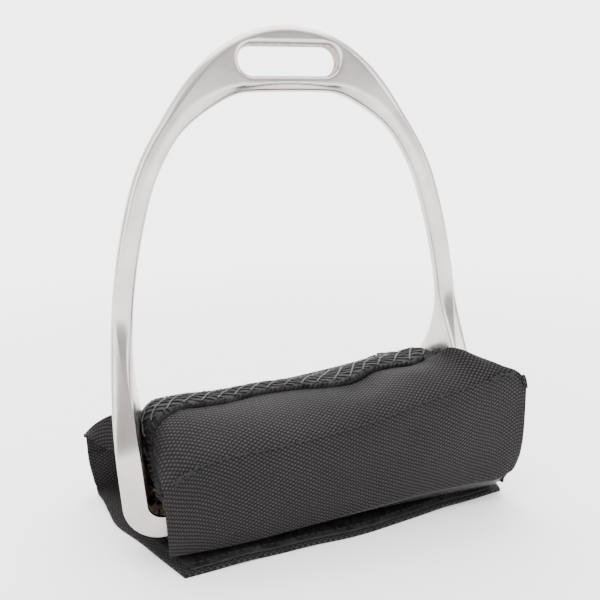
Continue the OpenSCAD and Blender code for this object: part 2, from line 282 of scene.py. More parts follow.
# Which steps get a ring: those whose ring passes between the lip's points, then closer towards the tread.
crown_part = walked[walked[:, 2] < 60]
picked = []
for i in range(n_eye):
    (x1, z1), (x2, z2) = lip_point(i, True), lip_point(i, False)
    miss = (crown_part[:, 0] + ((z1 + z2) / 2 - crown_part[:, 1]) * np.tan(np.radians(crown_part[:, 2]))
            - (x1 + x2) / 2)
    picked.append(float(np.interp(0, miss, np.arange(len(miss)))))
arc = picked[-1]
while arc < len(walked) - 1:
    _, height, heading = walked[int(arc)]
    if heading >= 179:
        arc += 50                             # along the tread
    elif heading < 91 and height > FLARE_TOP:
        arc += 22                             # down the branch
    elif heading < 91.4 and height > 30:
        arc += 14                             # down the flare
    else:
        arc += 7                              # round the bottom corner
    if arc < len(walked) - 1:
        picked.append(arc)
picked.append(len(walked) - 1)
rows = np.arange(len(walked))
half_steps = [tuple(np.interp(p, rows, walked[:, c]) for c in range(3)) for p in picked]

rings = []
for i, (x, z, h) in enumerate(half_steps):
    corners, soft = iron_section(z, h)
    ring = rounded_ring(corners, soft)
    hr = math.radians(h)
    rings.append(np.column_stack([x + ring[:, 0] * math.sin(hr), ring[:, 1], z + ring[:, 0] * math.cos(hr)]))
ring_n = len(rings[0])
front_c = 3 * len(CUTS) + STRIP               # the middle column of the front strip
back_c = front_c + (ring_n // 2 - front_c - 1) * 2 + 1


verts, faces = [], []
index = {}

# How far across the front strip the eye's end lies.
end_a, end_b = (rings[n_eye - 1][front_c + k * (STRIP + 1)] for k in (-1, 1))
end_x, end_z = lip_point(n_eye - 1, True)
eye_share = float(np.dot([end_x - end_a[0], end_z - end_a[2]], (end_b - end_a)[[0, 2]])
                  / np.dot((end_b - end_a)[[0, 2]], (end_b - end_a)[[0, 2]]))


def put(key, co):
    """The number of the vertex with this key, which is made the first time."""
    if key not in index:
        index[key] = len(verts)
        verts.append(tuple(co))
    return index[key]


def ring_vertex(i, j, side, lower=False):
    """Vertex of ring i, column j. In the eye the middle columns part into an upper and a lower one."""
    co = rings[i][j].copy()
    opened = i < n_eye - 1
    for c in (front_c, back_c):
        inward = j - c if c == front_c else c - j      # negative towards the outside of the arch
        if abs(inward) <= STRIP:
            if i < n_eye:
                lx, lz = lip_point(i, not (lower or inward > 0))
                edge = rings[i][c - (STRIP + 1) * (1 if (inward < 0 or (inward == 0 and not lower)) else -1)
                                * (1 if c == front_c else -1)]
                t = 1 - abs(inward) / (STRIP + 1)
                co = mix(edge, np.array([lx, rings[i][c][1], lz]), t)
            else:
                # beyond the eye the columns settle back to even spacing
                a, b = rings[i][c - STRIP - 1], rings[i][c + STRIP + 1]
                at = mix(0.5, eye_share if c == front_c else 1 - eye_share, 1 - ease(0, 7, i - n_eye + 1))
                k = (j - (c - STRIP - 1)) / (STRIP + 1)
                co = mix(a, b, k * at if k <= 1 else at + (k - 1) * (1 - at))
    split = opened and j in (front_c, back_c)
    # rings on the middle plane are shared by both sides
    mid = i == 0 or i == len(rings) - 1
    key = (i, j, 1 if mid else side, bool(lower and split))
    return put(key, (side * co[0], co[1], co[2] + IRON_LIFT))


for side in (1, -1):
    for i in range(len(rings) - 1):
        for j in range(ring_n):
            j2 = (j + 1) % ring_n
            a = ring_vertex(i, j, side, j == front_c)
            b = ring_vertex(i, j2, side, j2 == back_c)
            c = ring_vertex(i + 1, j2, side, j2 == back_c)
            d = ring_vertex(i + 1, j, side, j == front_c)
            quad = (a, b, c, d) if side > 0 else (d, c, b, a)
            faces.append(quad)

# The eye's lip and wall: rings of the same points, drawn in and back, from the front strip to the back one.
loop = [(i, True, 1) for i in range(n_eye)]
loop += [(i, False, 1) for i in range(n_eye - 2, -1, -1)]
loop += [(i, False, -1) for i in range(1, n_eye)]
loop += [(i, True, -1) for i in range(n_eye - 2, 0, -1)]


def eye_ring(side_y, inset, depth):
    """The loop again, smaller by the inset and behind one face of the crown by the depth."""
    out = []
    for i, top, side in loop:
        x, z = lip_point(i, top, lip_r - inset)
        y = side_y * (abs(rings[i][front_c][1]) - depth)
        out.append(put(("eye", side_y, inset, depth, i, top, side), (side * x, y, z + IRON_LIFT)))
    return out


def strip_ring(c):
    """The loop of vertices that the rings already have along the eye's lip, in the strip's middle column."""
    return [index[(i, c, 1 if i == 0 else side, (not top) and i < n_eye - 1)] for i, top, side in loop]


bends = [math.radians(a) for a in range(15, 91, 15)]
profile = [(LIP * math.sin(a), LIP * (1 - math.cos(a))) for a in bends]
WALL_DEPTH = 2.6                              # where the eye's wall gets its own rings
loops = [strip_ring(front_c)]
loops += [eye_ring(-1, inset, depth) for inset, depth in profile]
loops += [eye_ring(-1, LIP, WALL_DEPTH), eye_ring(1, LIP, WALL_DEPTH)]
loops += [eye_ring(1, inset, depth) for inset, depth in profile[::-1]]
loops.append(strip_ring(back_c))
for one, two in zip(loops, loops[1:]):
    for k in range(len(loop)):
        k2 = (k + 1) % len(loop)
        faces.append((one[k], one[k2], two[k2], two[k]))

iron_mesh = bpy.data.meshes.new("stirrup_iron")
iron_mesh.from_pydata([tuple(c * MM for c in v) for v in verts], [], faces)
iron_mesh.update()
bm = bmesh.new()
bm.from_mesh(iron_mesh)
bmesh.ops.recalc_face_normals(bm, faces=bm.faces)
bm.to_mesh(iron_mesh)
bm.free()
iron = bpy.data.objects.new("stirrup_iron", iron_mesh)
bpy.context.scene.collection.objects.link(iron)
iron_mesh.shade_smooth()


def settle(obj):
    """Applies the modifiers, so that the piece is a plain mesh."""
    graph = bpy.context.evaluated_depsgraph_get()
    graph.update()
    done = bpy.data.meshes.new_from_object(obj.evaluated_get(graph), preserve_all_data_layers=True,
                                           depsgraph=graph)
    if not done.materials:
        for m in obj.data.materials:
            done.materials.append(m)
    obj.modifiers.clear()
    obj.data = done
    return obj


# The window in the tread, which the rubber stands in.
WINDOW_W, WINDOW_DEPTH = 92.0, 26.0
bm = bmesh.new()
bmesh.ops.create_cube(bm, size=1.0)
for v in bm.verts:
    v.co = (v.co[0] * WINDOW_W * MM, v.co[1] * WINDOW_DEPTH * MM, (v.co[2] * 20 + IRON_LIFT + TREAD_T / 2) * MM)
cutter_mesh = bpy.data.meshes.new("window_cutter")
bm.to_mesh(cutter_mesh)
bm.free()
cutter = bpy.data.objects.new("window_cutter", cutter_mesh)
bpy.context.scene.collection.objects.link(cutter)
window = iron.modifiers.new("window", "BOOLEAN")
window.operation, window.solver, window.object = "DIFFERENCE", "EXACT", cutter
settle(iron)
bpy.data.objects.remove(cutter)
iron_mesh = iron.data
iron_mesh.set_sharp_from_angle(angle=math.radians(42))


class Wires:
    """Adds nodes to a material's tree and joins them up."""

    def __init__(self, name):
        self.mat = bpy.data.materials.new(name)
        self.mat.use_nodes = True
        self.tree = self.mat.node_tree
        self.shader = self.tree.nodes["Principled BSDF"]

    def add(self, kind, inputs=None, **settings):
        node = self.tree.nodes.new("ShaderNode" + kind)
        for key, value in settings.items():
            setattr(node, key, value)
        for key, value in (inputs or {}).items():
            self.to(node.inputs[key], value)
        return node

    def to(self, socket, value):
        if isinstance(value, bpy.types.NodeSocket):
            self.tree.links.new(value, socket)
        elif isinstance(value, bpy.types.Node):
            self.tree.links.new(value.outputs[0], socket)
        else:
            socket.default_value = value

    def here(self):
        """The place on the object."""
        return self.add("TexCoord").outputs["Object"]

    def noise(self, at, scale, detail, roughness=0.5):
        return self.add("TexNoise", {"Vector": at, "Scale": scale, "Detail": detail,
                                     "Roughness": roughness}).outputs[0]

    def math(self, operation, *values):
        return self.add("Math", dict(enumerate(values)), operation=operation).outputs[0]

    def ramp(self, factor, stops):
        node = self.add("ValToRGB", {0: factor})
        while len(node.color_ramp.elements) < len(stops):
            node.color_ramp.elements.new(0.5)
        for element, (at, colour) in zip(node.color_ramp.elements, stops):
            element.position = at
            element.color = (*colour, 1) if len(colour) == 3 else colour
        return node.outputs[0]

    def blend(self, factor, one, two):
        node = self.add("Mix", data_type="RGBA")
        for at, value in ((0, factor), (6, one), (7, two)):
            plain = isinstance(value, tuple) and len(value) == 3
            self.to(node.inputs[at], (*value, 1) if plain else value)
        return node.outputs[2]

    def surface(self, colour, roughness, specular=None, bump=None):
        """Sets the shader; bump is a strength, a distance and the height that it follows."""
        self.to(self.shader.inputs["Base Color"], colour)
        self.to(self.shader.inputs["Roughness"], roughness)
        if specular is not None:
            self.shader.inputs["Specular IOR Level"].default_value = specular
        if bump:
            strength, distance, height = bump
            relief = self.add("Bump", {"Strength": strength, "Distance": distance, "Height": height})
            self.to(self.shader.inputs["Normal"], relief)


steel = Wires("satin_steel")
place = steel.here()
cloudy = steel.noise(place, 55.0, 4.0, 0.6)
grain = steel.noise(place, 2600.0, 3.0, 0.7)
streaks = steel.noise(steel.add("Mapping", {0: place, 3: (900.0, 5000.0, 300.0)}), 1.0, 2.0)
tone = steel.ramp(cloudy, [(0.35, (0.43, 0.400, 0.385)), (0.65, (0.53, 0.502, 0.490))])
split = steel.add("SeparateXYZ", {0: place})


def inside(low, value, high):
    """1 where the value lies between the two limits in metres."""
    return steel.math("MULTIPLY", steel.math("GREATER_THAN", value, low), steel.math("LESS_THAN", value, high))


# Rust: specks low on the iron, and a stain on the inner side of the left branch's foot.
pits = steel.add("TexVoronoi", {"Vector": place, "Scale": 260.0, "Randomness": 1.0})
specks = steel.math("MULTIPLY", steel.math("LESS_THAN", pits.outputs["Distance"], 0.07),
                    steel.math("GREATER_THAN", steel.noise(place, 95.0, 2.0), 0.60))
specks = steel.math("MULTIPLY", specks, steel.math("LESS_THAN", split.outputs[2], 0.050))
corner = steel.math("MULTIPLY", inside(-0.0625, split.outputs[0], -0.045),
                    steel.math("LESS_THAN", split.outputs[2], 0.040))
corner = steel.math("MULTIPLY", corner, steel.math("GREATER_THAN", split.outputs[1], -0.0202))
blotches = steel.ramp(steel.noise(place, 240.0, 5.0, 0.7), [(0.48, (0, 0, 0)), (0.60, (1, 1, 1))])
rust = steel.math("MAXIMUM", specks, steel.math("MULTIPLY", corner, blotches))

# The eye's wall is as cast: darker and rougher.
away = steel.add("VectorMath", {0: place, 1: (0.0, 0.0, (EYE_Z + IRON_LIFT) * MM)}, operation="SUBTRACT")
near = steel.add("SeparateXYZ", {0: steel.add("VectorMath", {0: away}, operation="ABSOLUTE")})
cast = steel.math("MULTIPLY", steel.math("LESS_THAN", near.outputs[0], (EYE_W / 2 + 0.25) * MM),
                  steel.math("LESS_THAN", near.outputs[2], (EYE_H / 2 + 0.25) * MM))
cast = steel.math("MULTIPLY", cast, steel.math("LESS_THAN", near.outputs[1], (EYE_DEPTH / 2 - 0.9) * MM))
as_cast = steel.ramp(steel.noise(place, 1300.0, 3.0), [(0.35, (0.17, 0.14, 0.12)), (0.65, (0.46, 0.41, 0.37))])
satin = steel.math("MULTIPLY_ADD", grain, 0.10, 0.20)
satin = steel.math("MULTIPLY_ADD", cast, 0.35, satin)
relief = steel.math("ADD", steel.math("MULTIPLY", grain, 0.6), steel.math("MULTIPLY", streaks, 0.5))
steel.surface(steel.blend(rust, steel.blend(cast, tone, as_cast), (0.30, 0.13, 0.05)),
              steel.math("MULTIPLY_ADD", rust, 0.4, satin), bump=(0.10, 0.0001, relief))
steel.to(steel.shader.inputs["Metallic"], steel.math("SUBTRACT", 1.0, steel.math("MULTIPLY", rust, 0.8)))
iron_mesh.materials.append(steel.mat)
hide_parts("iron")
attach(iron, "iron_and_pad")

# ---------------------------------------------------------------- tread rubber
# A moulded rubber pad stands in the tread's window and is ribbed across, so that a wet boot grips. Its plug
# fills the window, and a row of studs shows below it.
def mesh_piece(name, points, polys, material, uv=None):
    """A plain mesh object from points in millimetres; uv gives one pair for each point."""
    mesh = bpy.data.meshes.new(name)
    mesh.from_pydata([tuple(float(c) * MM for c in v) for v in points], [],
                     [tuple(int(i) for i in f) for f in polys])
    mesh.update()
    if uv is not None:
        layer = mesh.uv_layers.new(name="cloth")
        corner_verts = np.zeros(len(mesh.loops), int)
        mesh.loops.foreach_get("vertex_index", corner_verts)
        layer.data.foreach_set("uv", np.asarray(uv, float)[corner_verts].ravel())
    mesh.materials.append(material)
    obj = bpy.data.objects.new(name, mesh)
    bpy.context.scene.collection.objects.link(obj)
    mesh.shade_smooth()
    return obj


rubber = Wires("tread_rubber")
dust = rubber.noise(rubber.here(), 180.0, 4.0)
rubber.surface(rubber.ramp(dust, [(0.3, (0.010, 0.010, 0.011)), (0.8, (0.030, 0.029, 0.028))]),
               rubber.math("MULTIPLY_ADD", dust, 0.3, 0.5), bump=(0.3, 0.0002, dust))
low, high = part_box("tread_rubber")
low, high = np.array(low) / MM, np.array(high) / MM
bm = bmesh.new()


def bevelled_box(lo, hi, width):
    """Adds a box between two corners, with all its edges bevelled."""
    made = bmesh.ops.create_cube(bm, size=1.0)["verts"]
    for v in made:
        v.co = [mix(lo[k], hi[k], v.co[k] + 0.5) * MM for k in range(3)]
    edges = {e for v in made for e in v.link_edges}
    bmesh.ops.bevel(bm, geom=list(edges), offset=width * MM, segments=2, affect="EDGES", profile=0.5)


RIBS, STUDS, PLUG_GAP = 17, 13, 0.2
plug_x, plug_y = WINDOW_W / 2 - PLUG_GAP, WINDOW_DEPTH / 2 - PLUG_GAP
bevelled_box((low[0], low[1], high[2] - 2.2), (high[0], high[1], high[2] - 0.9), 0.4)
bevelled_box((-plug_x, -plug_y, low[2]), (plug_x, plug_y, high[2] - 2.0), 0.8)
for k in range(RIBS):
    x = mix(low[0] + 3, high[0] - 3, k / (RIBS - 1))
    bevelled_box((x - 1.4, low[1] + 1, high[2] - 1.2), (x + 1.4, high[1] - 1, high[2]), 0.35)
for k in range(STUDS):
    x = mix(-41, 41, k / (STUDS - 1))
    bevelled_box((x - 1.2, -10.5, low[2] - 0.6), (x + 1.2, 10.5, low[2] + 0.5), 0.3)
rubber_mesh = bpy.data.meshes.new("rubber_tread")
bm.to_mesh(rubber_mesh)
bm.free()
rubber_mesh.materials.append(rubber.mat)
rubber_tread = bpy.data.objects.new("rubber_tread", rubber_mesh)
bpy.context.scene.collection.objects.link(rubber_tread)
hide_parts("tread_rubber")
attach(rubber_tread, "iron_and_pad")

# ---------------------------------------------------------------- cover: its lines and its cloth
# The cover is one grip-mesh top between two nylon panels. Its lines are given against the place along the
# front fold, u, in millimetres: the serged seam, the fold with its topstitching, and the front wing's edge.
def through(t, knots, values):
    """A smooth curve that passes through the values at the knots."""
    knots, values = np.asarray(knots, float), np.asarray(values, float)
    t = np.clip(np.asarray(t, float), knots[0], knots[-1])
    slope = np.gradient(values, knots, axis=0)
    i = np.clip(np.searchsorted(knots, t, side="right") - 1, 0, len(knots) - 2)
    h = knots[i + 1] - knots[i]
    k = (t - knots[i]) / h
    if values.ndim > 1:
        k, h = k[..., None], h[..., None]
    return ((2 * k ** 3 - 3 * k ** 2 + 1) * values[i] + (k ** 3 - 2 * k ** 2 + k) * h * slope[i]
            + (3 * k ** 2 - 2 * k ** 3) * values[i + 1] + (k ** 3 - k ** 2) * h * slope[i + 1])


# u, then the serged seam's place: up the pad's left end, along its top in waves, and out along the right ear.
SEAM = [
    (-54.2, -54.6, -25.4, 31.0), (-53.2, -55.7, -20.5, 32.7), (-51.8, -56.8, -15.0, 37.6),
    (-50.0, -56.0, -10.0, 43.8), (-47.5, -53.0, -7.6, 47.6), (-44.0, -48.5, -4.4, 49.1),
    (-34.0, -36.0, -2.9, 49.1), (-26.0, -27.0, -2.1, 49.1), (-17.0, -17.3, 0.0, 49.4),
    (1.0, 1.0, -1.2, 50.2), (15.0, 14.0, -5.3, 51.4), (21.0, 19.5, -6.3, 52.2), (33.0, 31.5, -2.1, 54.0),
    (39.0, 37.0, -2.3, 54.6), (51.0, 47.3, -5.7, 56.2), (57.0, 52.5, -4.8, 57.4), (63.0, 57.2, -8.6, 61.6),
    (66.0, 58.6, -12.6, 65.0), (69.0, 61.8, -16.4, 65.3), (73.0, 66.8, -18.6, 63.0),
    (78.0, 74.0, -22.6, 59.8), (83.0, 82.0, -26.1, 55.9), (85.3, 84.5, -26.3, 50.6)]
# u, then how far forward and how high the fold and the wing's foot are.
FOLD = [(-54.2, -26.6, 31.0), (-49, -26.8, 34.2), (-43, -27, 37.6), (-32, -27, 40.1), (-16.5, -27, 40.9),
        (1, -27, 42.7), (19, -26.8, 45.0), (47, -26.5, 51.1), (63, -26.5, 53.8), (79, -26.5, 56.4),
        (83, -26.5, 55.2), (84.8, -26.5, 52.6), (85.3, -26.5, 50.0)]
FOOT = [(-54.2, -27.0, 5.3), (-31, -27, 5.2), (-2, -26.5, 7.0), (20, -26, 8.7), (46, -25.6, 10.9),
        (66, -25.4, 11.2), (76, -25.4, 11.3), (80.5, -25.6, 12.6), (83.6, -25.8, 15.4), (85.3, -26, 20.4)]
# The fold behind, as points; and the height of the pad's crest along it.
BACK_FOLD = [(-84.4, -84.6, 30.6, 28.9), (-81.5, -81.5, 31.2, 31.4), (-78, -78, 31.5, 33.4),
             (-73.5, -73.5, 31.6, 35.0), (-66, -66, 31.6, 35.4), (-57, -57, 31.5, 35.4),
             (-40, -40, 31.5, 36.4),
             (-20, -20, 31.5, 38.2), (0, 0, 31.5, 40.2), (25, 25, 31.5, 43.4), (45, 45, 31.5, 46.2),
             (50, 50, 31.4, 46.9), (52.4, 52.4, 31.0, 46.6)]
CREST = [(-60, 50.6), (-42, 50.2), (-24, 50.2), (9, 51.7), (27, 54.6), (46, 57), (60, 58.3)]


def line_of(table, u):
    """The smooth line through a table's points, whose first column is the place along it."""
    rows = np.array(table, float)
    return through(u, rows[:, 0], rows[:, 1:])


def crest_at(x):
    return line_of(CREST, x)[..., 0]


def ripple(u, v, seed, size):
    """Small even waves, as cloth has where nothing pulls it flat."""
    rng = np.random.default_rng(seed)
    total = np.zeros(np.broadcast(u, v).shape)
    for _ in range(7):
        kx, ky, phase = rng.uniform(0.03, 0.16), rng.uniform(-0.12, 0.12), rng.uniform(0, 6.28)
        total = total + np.sin(kx * u + ky * v + phase) * rng.uniform(0.4, 1.0)
    return total * size / 3


def grid_faces(n, m):
    """The quads of a grid of n by m points."""
    i, j = np.meshgrid(np.arange(n - 1), np.arange(m - 1), indexing="ij")
    a = (i * m + j).ravel()
    return np.column_stack([a, a + m, a + m + 1, a + 1])


def normals_of(grid):
    du, dv = np.gradient(grid, axis=0), np.gradient(grid, axis=1)
    n = np.cross(du, dv)
    return n / np.maximum(np.linalg.norm(n, axis=2, keepdims=True), 1e-9)


def cloth_piece(name, grid, uv, material, thickness, outward):
    """A sheet over a grid of points, with its thickness behind the face that looks outward."""
    n, m = grid.shape[:2]
    polys = grid_faces(n, m)
    if np.sum(normals_of(grid) * outward) < 0:
        polys = polys[:, ::-1]
    obj = mesh_piece(name, grid.reshape(-1, 3), polys, material, uv.reshape(-1, 2))
    wall = obj.modifiers.new("thickness", "SOLIDIFY")
    wall.thickness, wall.offset = thickness * MM, -1.0
    wall.use_even_offset = False
    return settle(obj)


def woven(name, dark, light, along=1.08, across=0.76, bump=0.6, rough=0.72):
    """Coated nylon in a plain weave, with the two yarns' spacing in millimetres. The warp's floats are painted in the
    light colour as rows of highlight dots, and the weft between them in the dark colour as painted shade."""
    w = Wires(name)
    uv = w.add("UVMap", uv_map="cloth")
    drift = w.add("TexNoise", {"Vector": uv, "Scale": 0.045, "Detail": 2.0})
    wobble = w.add("VectorMath", {0: drift.outputs["Color"], 1: (0.5, 0.5, 0.5)}, operation="SUBTRACT")
    scaled = w.add("VectorMath", {0: wobble, "Scale": 1.3}, operation="SCALE")
    moved = w.add("VectorMath", {0: uv, 1: scaled}, operation="ADD")
    p = w.add("SeparateXYZ", {0: moved})
    sx = w.math("SINE", w.math("MULTIPLY", p.outputs[0], math.pi / along))
    sy = w.math("SINE", w.math("MULTIPLY", p.outputs[1], math.pi / across))
    sy = w.math("MAXIMUM", w.math("MINIMUM", w.math("MULTIPLY", sy, 1.7), 1.0), -1.0)
    both = w.math("MULTIPLY", sx, sy)
    warp = w.math("POWER", w.math("MAXIMUM", both, 0.0), 0.6)
    weft = w.math("POWER", w.math("MAXIMUM", w.math("MULTIPLY", both, -1.0), 0.0), 0.6)
    lit = w.math("ADD", warp, w.math("MULTIPLY", weft, 0.12))
    # Painted highlight and shade: the base colour goes from dark to light with the warp's floats, standing in for the
    # light that they catch and the shade in the weft between them.
    painted_highlight_dots = w.math("MULTIPLY", lit, w.math("MULTIPLY_ADD", w.noise(uv, 0.75, 2.0), 0.9, 0.45))
    height = w.math("ADD", warp, w.math("MULTIPLY", weft, 0.5))
    tone = w.ramp(w.noise(uv, 0.03, 3.0), [(0.3, (0.82, 0.82, 0.82)), (0.7, (1.12, 1.10, 1.10))])
    mixed = w.add("Mix", data_type="RGBA", blend_type="MULTIPLY")
    mixed.inputs[0].default_value = 1.0
    w.to(mixed.inputs[6], w.blend(painted_highlight_dots, dark, light))
    w.to(mixed.inputs[7], tone)
    w.surface(mixed.outputs[2], w.math("MULTIPLY_ADD", weft, 0.1, rough), 0.16, (bump, 0.00025, height))
    w.shader.inputs["Sheen Weight"].default_value = 0.03
    w.shader.inputs["Sheen Roughness"].default_value = 0.5
    return w.mat


# The second colour is the painted highlight on the weave's dots; the first is the nylon's black, darkened further as
# painted shade between them.
nylon = woven("black_nylon", (0.0012, 0.0010, 0.0011), (0.0345, 0.0320, 0.0331))

# ---------------------------------------------------------------- front panel
# Nylon cloth, cut in one. It runs from the serged seam down the pad's front slope, turns over the
# topstitched fold, hangs as the front wing and is turned back under the tread at its foot.
U = np.concatenate([np.linspace(-54.2, -42, 22), np.linspace(-41, 62, 78), np.linspace(63, 82, 22),
                    np.linspace(82.5, 85.3, 9)])
RETURN, RETURN_RISE, RETURN_Z = 20.5, 5.5, 5.4     # the cloth turned back under the tread, and its height
seam = line_of(SEAM, U)
fold = np.column_stack([U, line_of(FOLD, U)])
foot = np.column_stack([U, line_of(FOOT, U)])
V_SLOPE = 1 - (1 - np.linspace(0, 1, 24)) ** 1.25
slope_rows, wing_rows, return_rows = [], [], []
inward = np.array([0.0, -0.45, 0.9])
span = np.linalg.norm(seam - fold, axis=1)
for v in V_SLOPE:
    p = mix(seam, fold, v)
    crown = 4 * v * (1 - v) * (0.9 + 0.075 * span)
    # two hollows, and a rise between them, where the pad has been trodden
    dip = -1.5 * np.exp(-((U - 26) / 9) ** 2 - ((v - 0.25) / 0.3) ** 2)
    dip += 0.9 * np.exp(-((U - 47) / 8) ** 2 - ((v - 0.3) / 0.3) ** 2)
    dip += -0.8 * np.exp(-((U + 38) / 9) ** 2 - ((v - 0.55) / 0.3) ** 2)
    swell = crown + (dip + ripple(U, v * 25, 4, 0.45) * 4 * v * (1 - v)) * np.clip(span / 20, 0, 1)
    slope_rows.append(p + (swell * (1 - 0.85 * ease(76, 85.3, U)))[:, None] * inward)
wing_v = np.linspace(0, 1, 34)
for v in wing_v[1:]:
    p = mix(fold, foot, v)
    belly = 4 * v * (1 - v) * 0.9 + ripple(U, v * 45, 9, 0.5) * np.sin(math.pi * v) ** 0.7
    p = p + np.outer(belly, [0, -1.0, 0])
    wing_rows.append(p)
for k in range(1, 13):
    t = k / 12
    y = foot[:, 1] + 0.4 + RETURN * t
    z = mix(foot[:, 2], RETURN_Z, ease(0, RETURN_RISE, RETURN * t)) + 0.25 * math.sin(math.pi * min(1, t * 3))
    return_rows.append(np.column_stack([np.minimum(U, U[-1] - 3.5 * ease(0, 0.2, t)), y, z]))
panel = np.stack(slope_rows + wing_rows + return_rows, axis=1)
panel_steps = np.linalg.norm(np.diff(panel, axis=1), axis=2)
arc_v = np.concatenate([np.zeros((len(U), 1)), np.cumsum(panel_steps, axis=1)], axis=1)
fold_row = len(slope_rows) - 1
arc_v = arc_v - arc_v[:, [fold_row]]
arc_u = np.concatenate([[0], np.cumsum(np.linalg.norm(np.diff(fold, axis=0), axis=1))])
panel_uv = np.stack([np.repeat(arc_u[:, None], panel.shape[1], axis=1), arc_v], axis=2)
front_out = np.zeros_like(panel)
front_out[..., 1], front_out[..., 2] = -1, 0.3
front_out[:, len(slope_rows) + len(wing_rows):] = 0
front_panel = cloth_piece("front_panel", panel, panel_uv, nylon, 0.9, front_out)
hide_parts("front_slope", "front_wing")
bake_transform(front_panel)

# ---------------------------------------------------------------- grip mesh
# An open knitted mesh with a rubbery coating lies over the pad's top and hangs over both of its ends. Its cords
# are a wide set slanting one way, and a close set the other way, both raised on the sheet.
# The mesh's front edge and its back edge, as points against the place along the mesh.
MESH_FRONT = [(-86, -52.6, -24.0, 26.5), (-80, -54.2, -25.2, 28.6), (-76, -55.0, -25.4, 31.0),
              (-70, -55.7, -20.5, 32.7), (-64, -56.8, -15.0, 37.6), (-58, -56.0, -10.0, 43.8),
              (-53, -53.0, -7.6, 47.6), (-48, -48.5, -4.4, 49.1), (-36, -36, -2.9, 49.1),
              (-27, -27, -2.1, 49.1), (-17.3, -17.3, 0, 49.4), (1, 1, -1.2, 50.2), (14, 14, -5.3, 51.4),
              (19.5, 19.5, -6.3, 52.2), (31.5, 31.5, -2.1, 54.0), (37, 37, -2.3, 54.6),
              (47.3, 47.3, -5.7, 56.2), (52.5, 52.5, -4.8, 56.9),
              (58, 56.4, -8.5, 55.3), (64, 57.6, -12, 51), (70, 58, -16, 44), (78, 57.6, -20, 34),
              (86, 57, -22, 22.5)]
MESH_BACK = [(-86, -55.6, 22.5, 22.5), (-78, -57.2, 23, 28), (-70, -57.4, 22.5, 34),
             (-62, -57.2, 21.8, 39.5), (-56, -55.5, 21, 42.8), (-48, -48.5, 20.5, 43.8),
             (-30, -30, 20.2, 43.8), (-10, -10, 21.1, 44.2),
             (5, 5, 20.3, 45.0), (20, 20, 20.8, 46.8), (35, 35, 20.1, 49.0), (46, 46, 20.6, 50.4),
             (52, 51.5, 21.8, 50.6), (58, 55.6, 24, 49.4), (64, 57.2, 24.4, 45), (72, 57.8, 24, 38),
             (79, 57.5, 23.4, 30), (86, 57, 22.5, 22.5)]
S = np.linspace(-86, 86, 150)
mesh_front, mesh_back = line_of(MESH_FRONT, S), line_of(MESH_BACK, S)
ACROSS = np.linspace(0, 1, 26)
top_share = (ease(-66, -50, S) * (1 - ease(50, 66, S)))[:, None]
sideways = np.column_stack([np.sign(S), np.zeros(len(S)), np.zeros(len(S))])
mesh_out = sideways * (1 - top_share) + top_share * [0, 0, 1]
mesh_out /= np.linalg.norm(mesh_out, axis=1, keepdims=True)
mesh_crown = 2.6 + 0.5 * top_share[:, 0] + 2.0 * np.exp(-((abs(S) - 57) / 5) ** 2)
mesh_grid = np.stack([mix(mesh_front, mesh_back, t)
                      + 4 * t ** 0.75 * (1 - t ** 0.75) * mesh_out * mesh_crown[:, None]
                      + 0.25 * 4 * t * (1 - t) * (ripple(S, t * 30, 21, 1.0)[:, None]) * mesh_out
                      for t in ACROSS], axis=1)


def arc_lengths(line):
    """How far along a line each of its points lies."""
    return np.concatenate([[0], np.cumsum(np.linalg.norm(np.diff(line, axis=0), axis=1))])


mesh_u = arc_lengths(mesh_grid[:, 12])
mesh_v = arc_lengths(mesh_grid[75])
mesh_uv = np.stack(np.meshgrid(mesh_u, mesh_v, indexing="ij"), axis=2)


def on_surface(grid, normal, a, b, lift):
    """Points on a grid of points, at fractional steps along and across it, raised by lift."""
    a, b = np.clip(a, 0, grid.shape[0] - 1.001), np.clip(b, 0, grid.shape[1] - 1.001)
    i, j = a.astype(int), b.astype(int)
    fa, fb = (a - i)[:, None], (b - j)[:, None]

    def take(g):
        return mix(mix(g[i, j], g[i + 1, j], fa), mix(g[i, j + 1], g[i + 1, j + 1], fa), fb)
    return take(grid) + take(normal) * np.asarray(lift)[..., None]


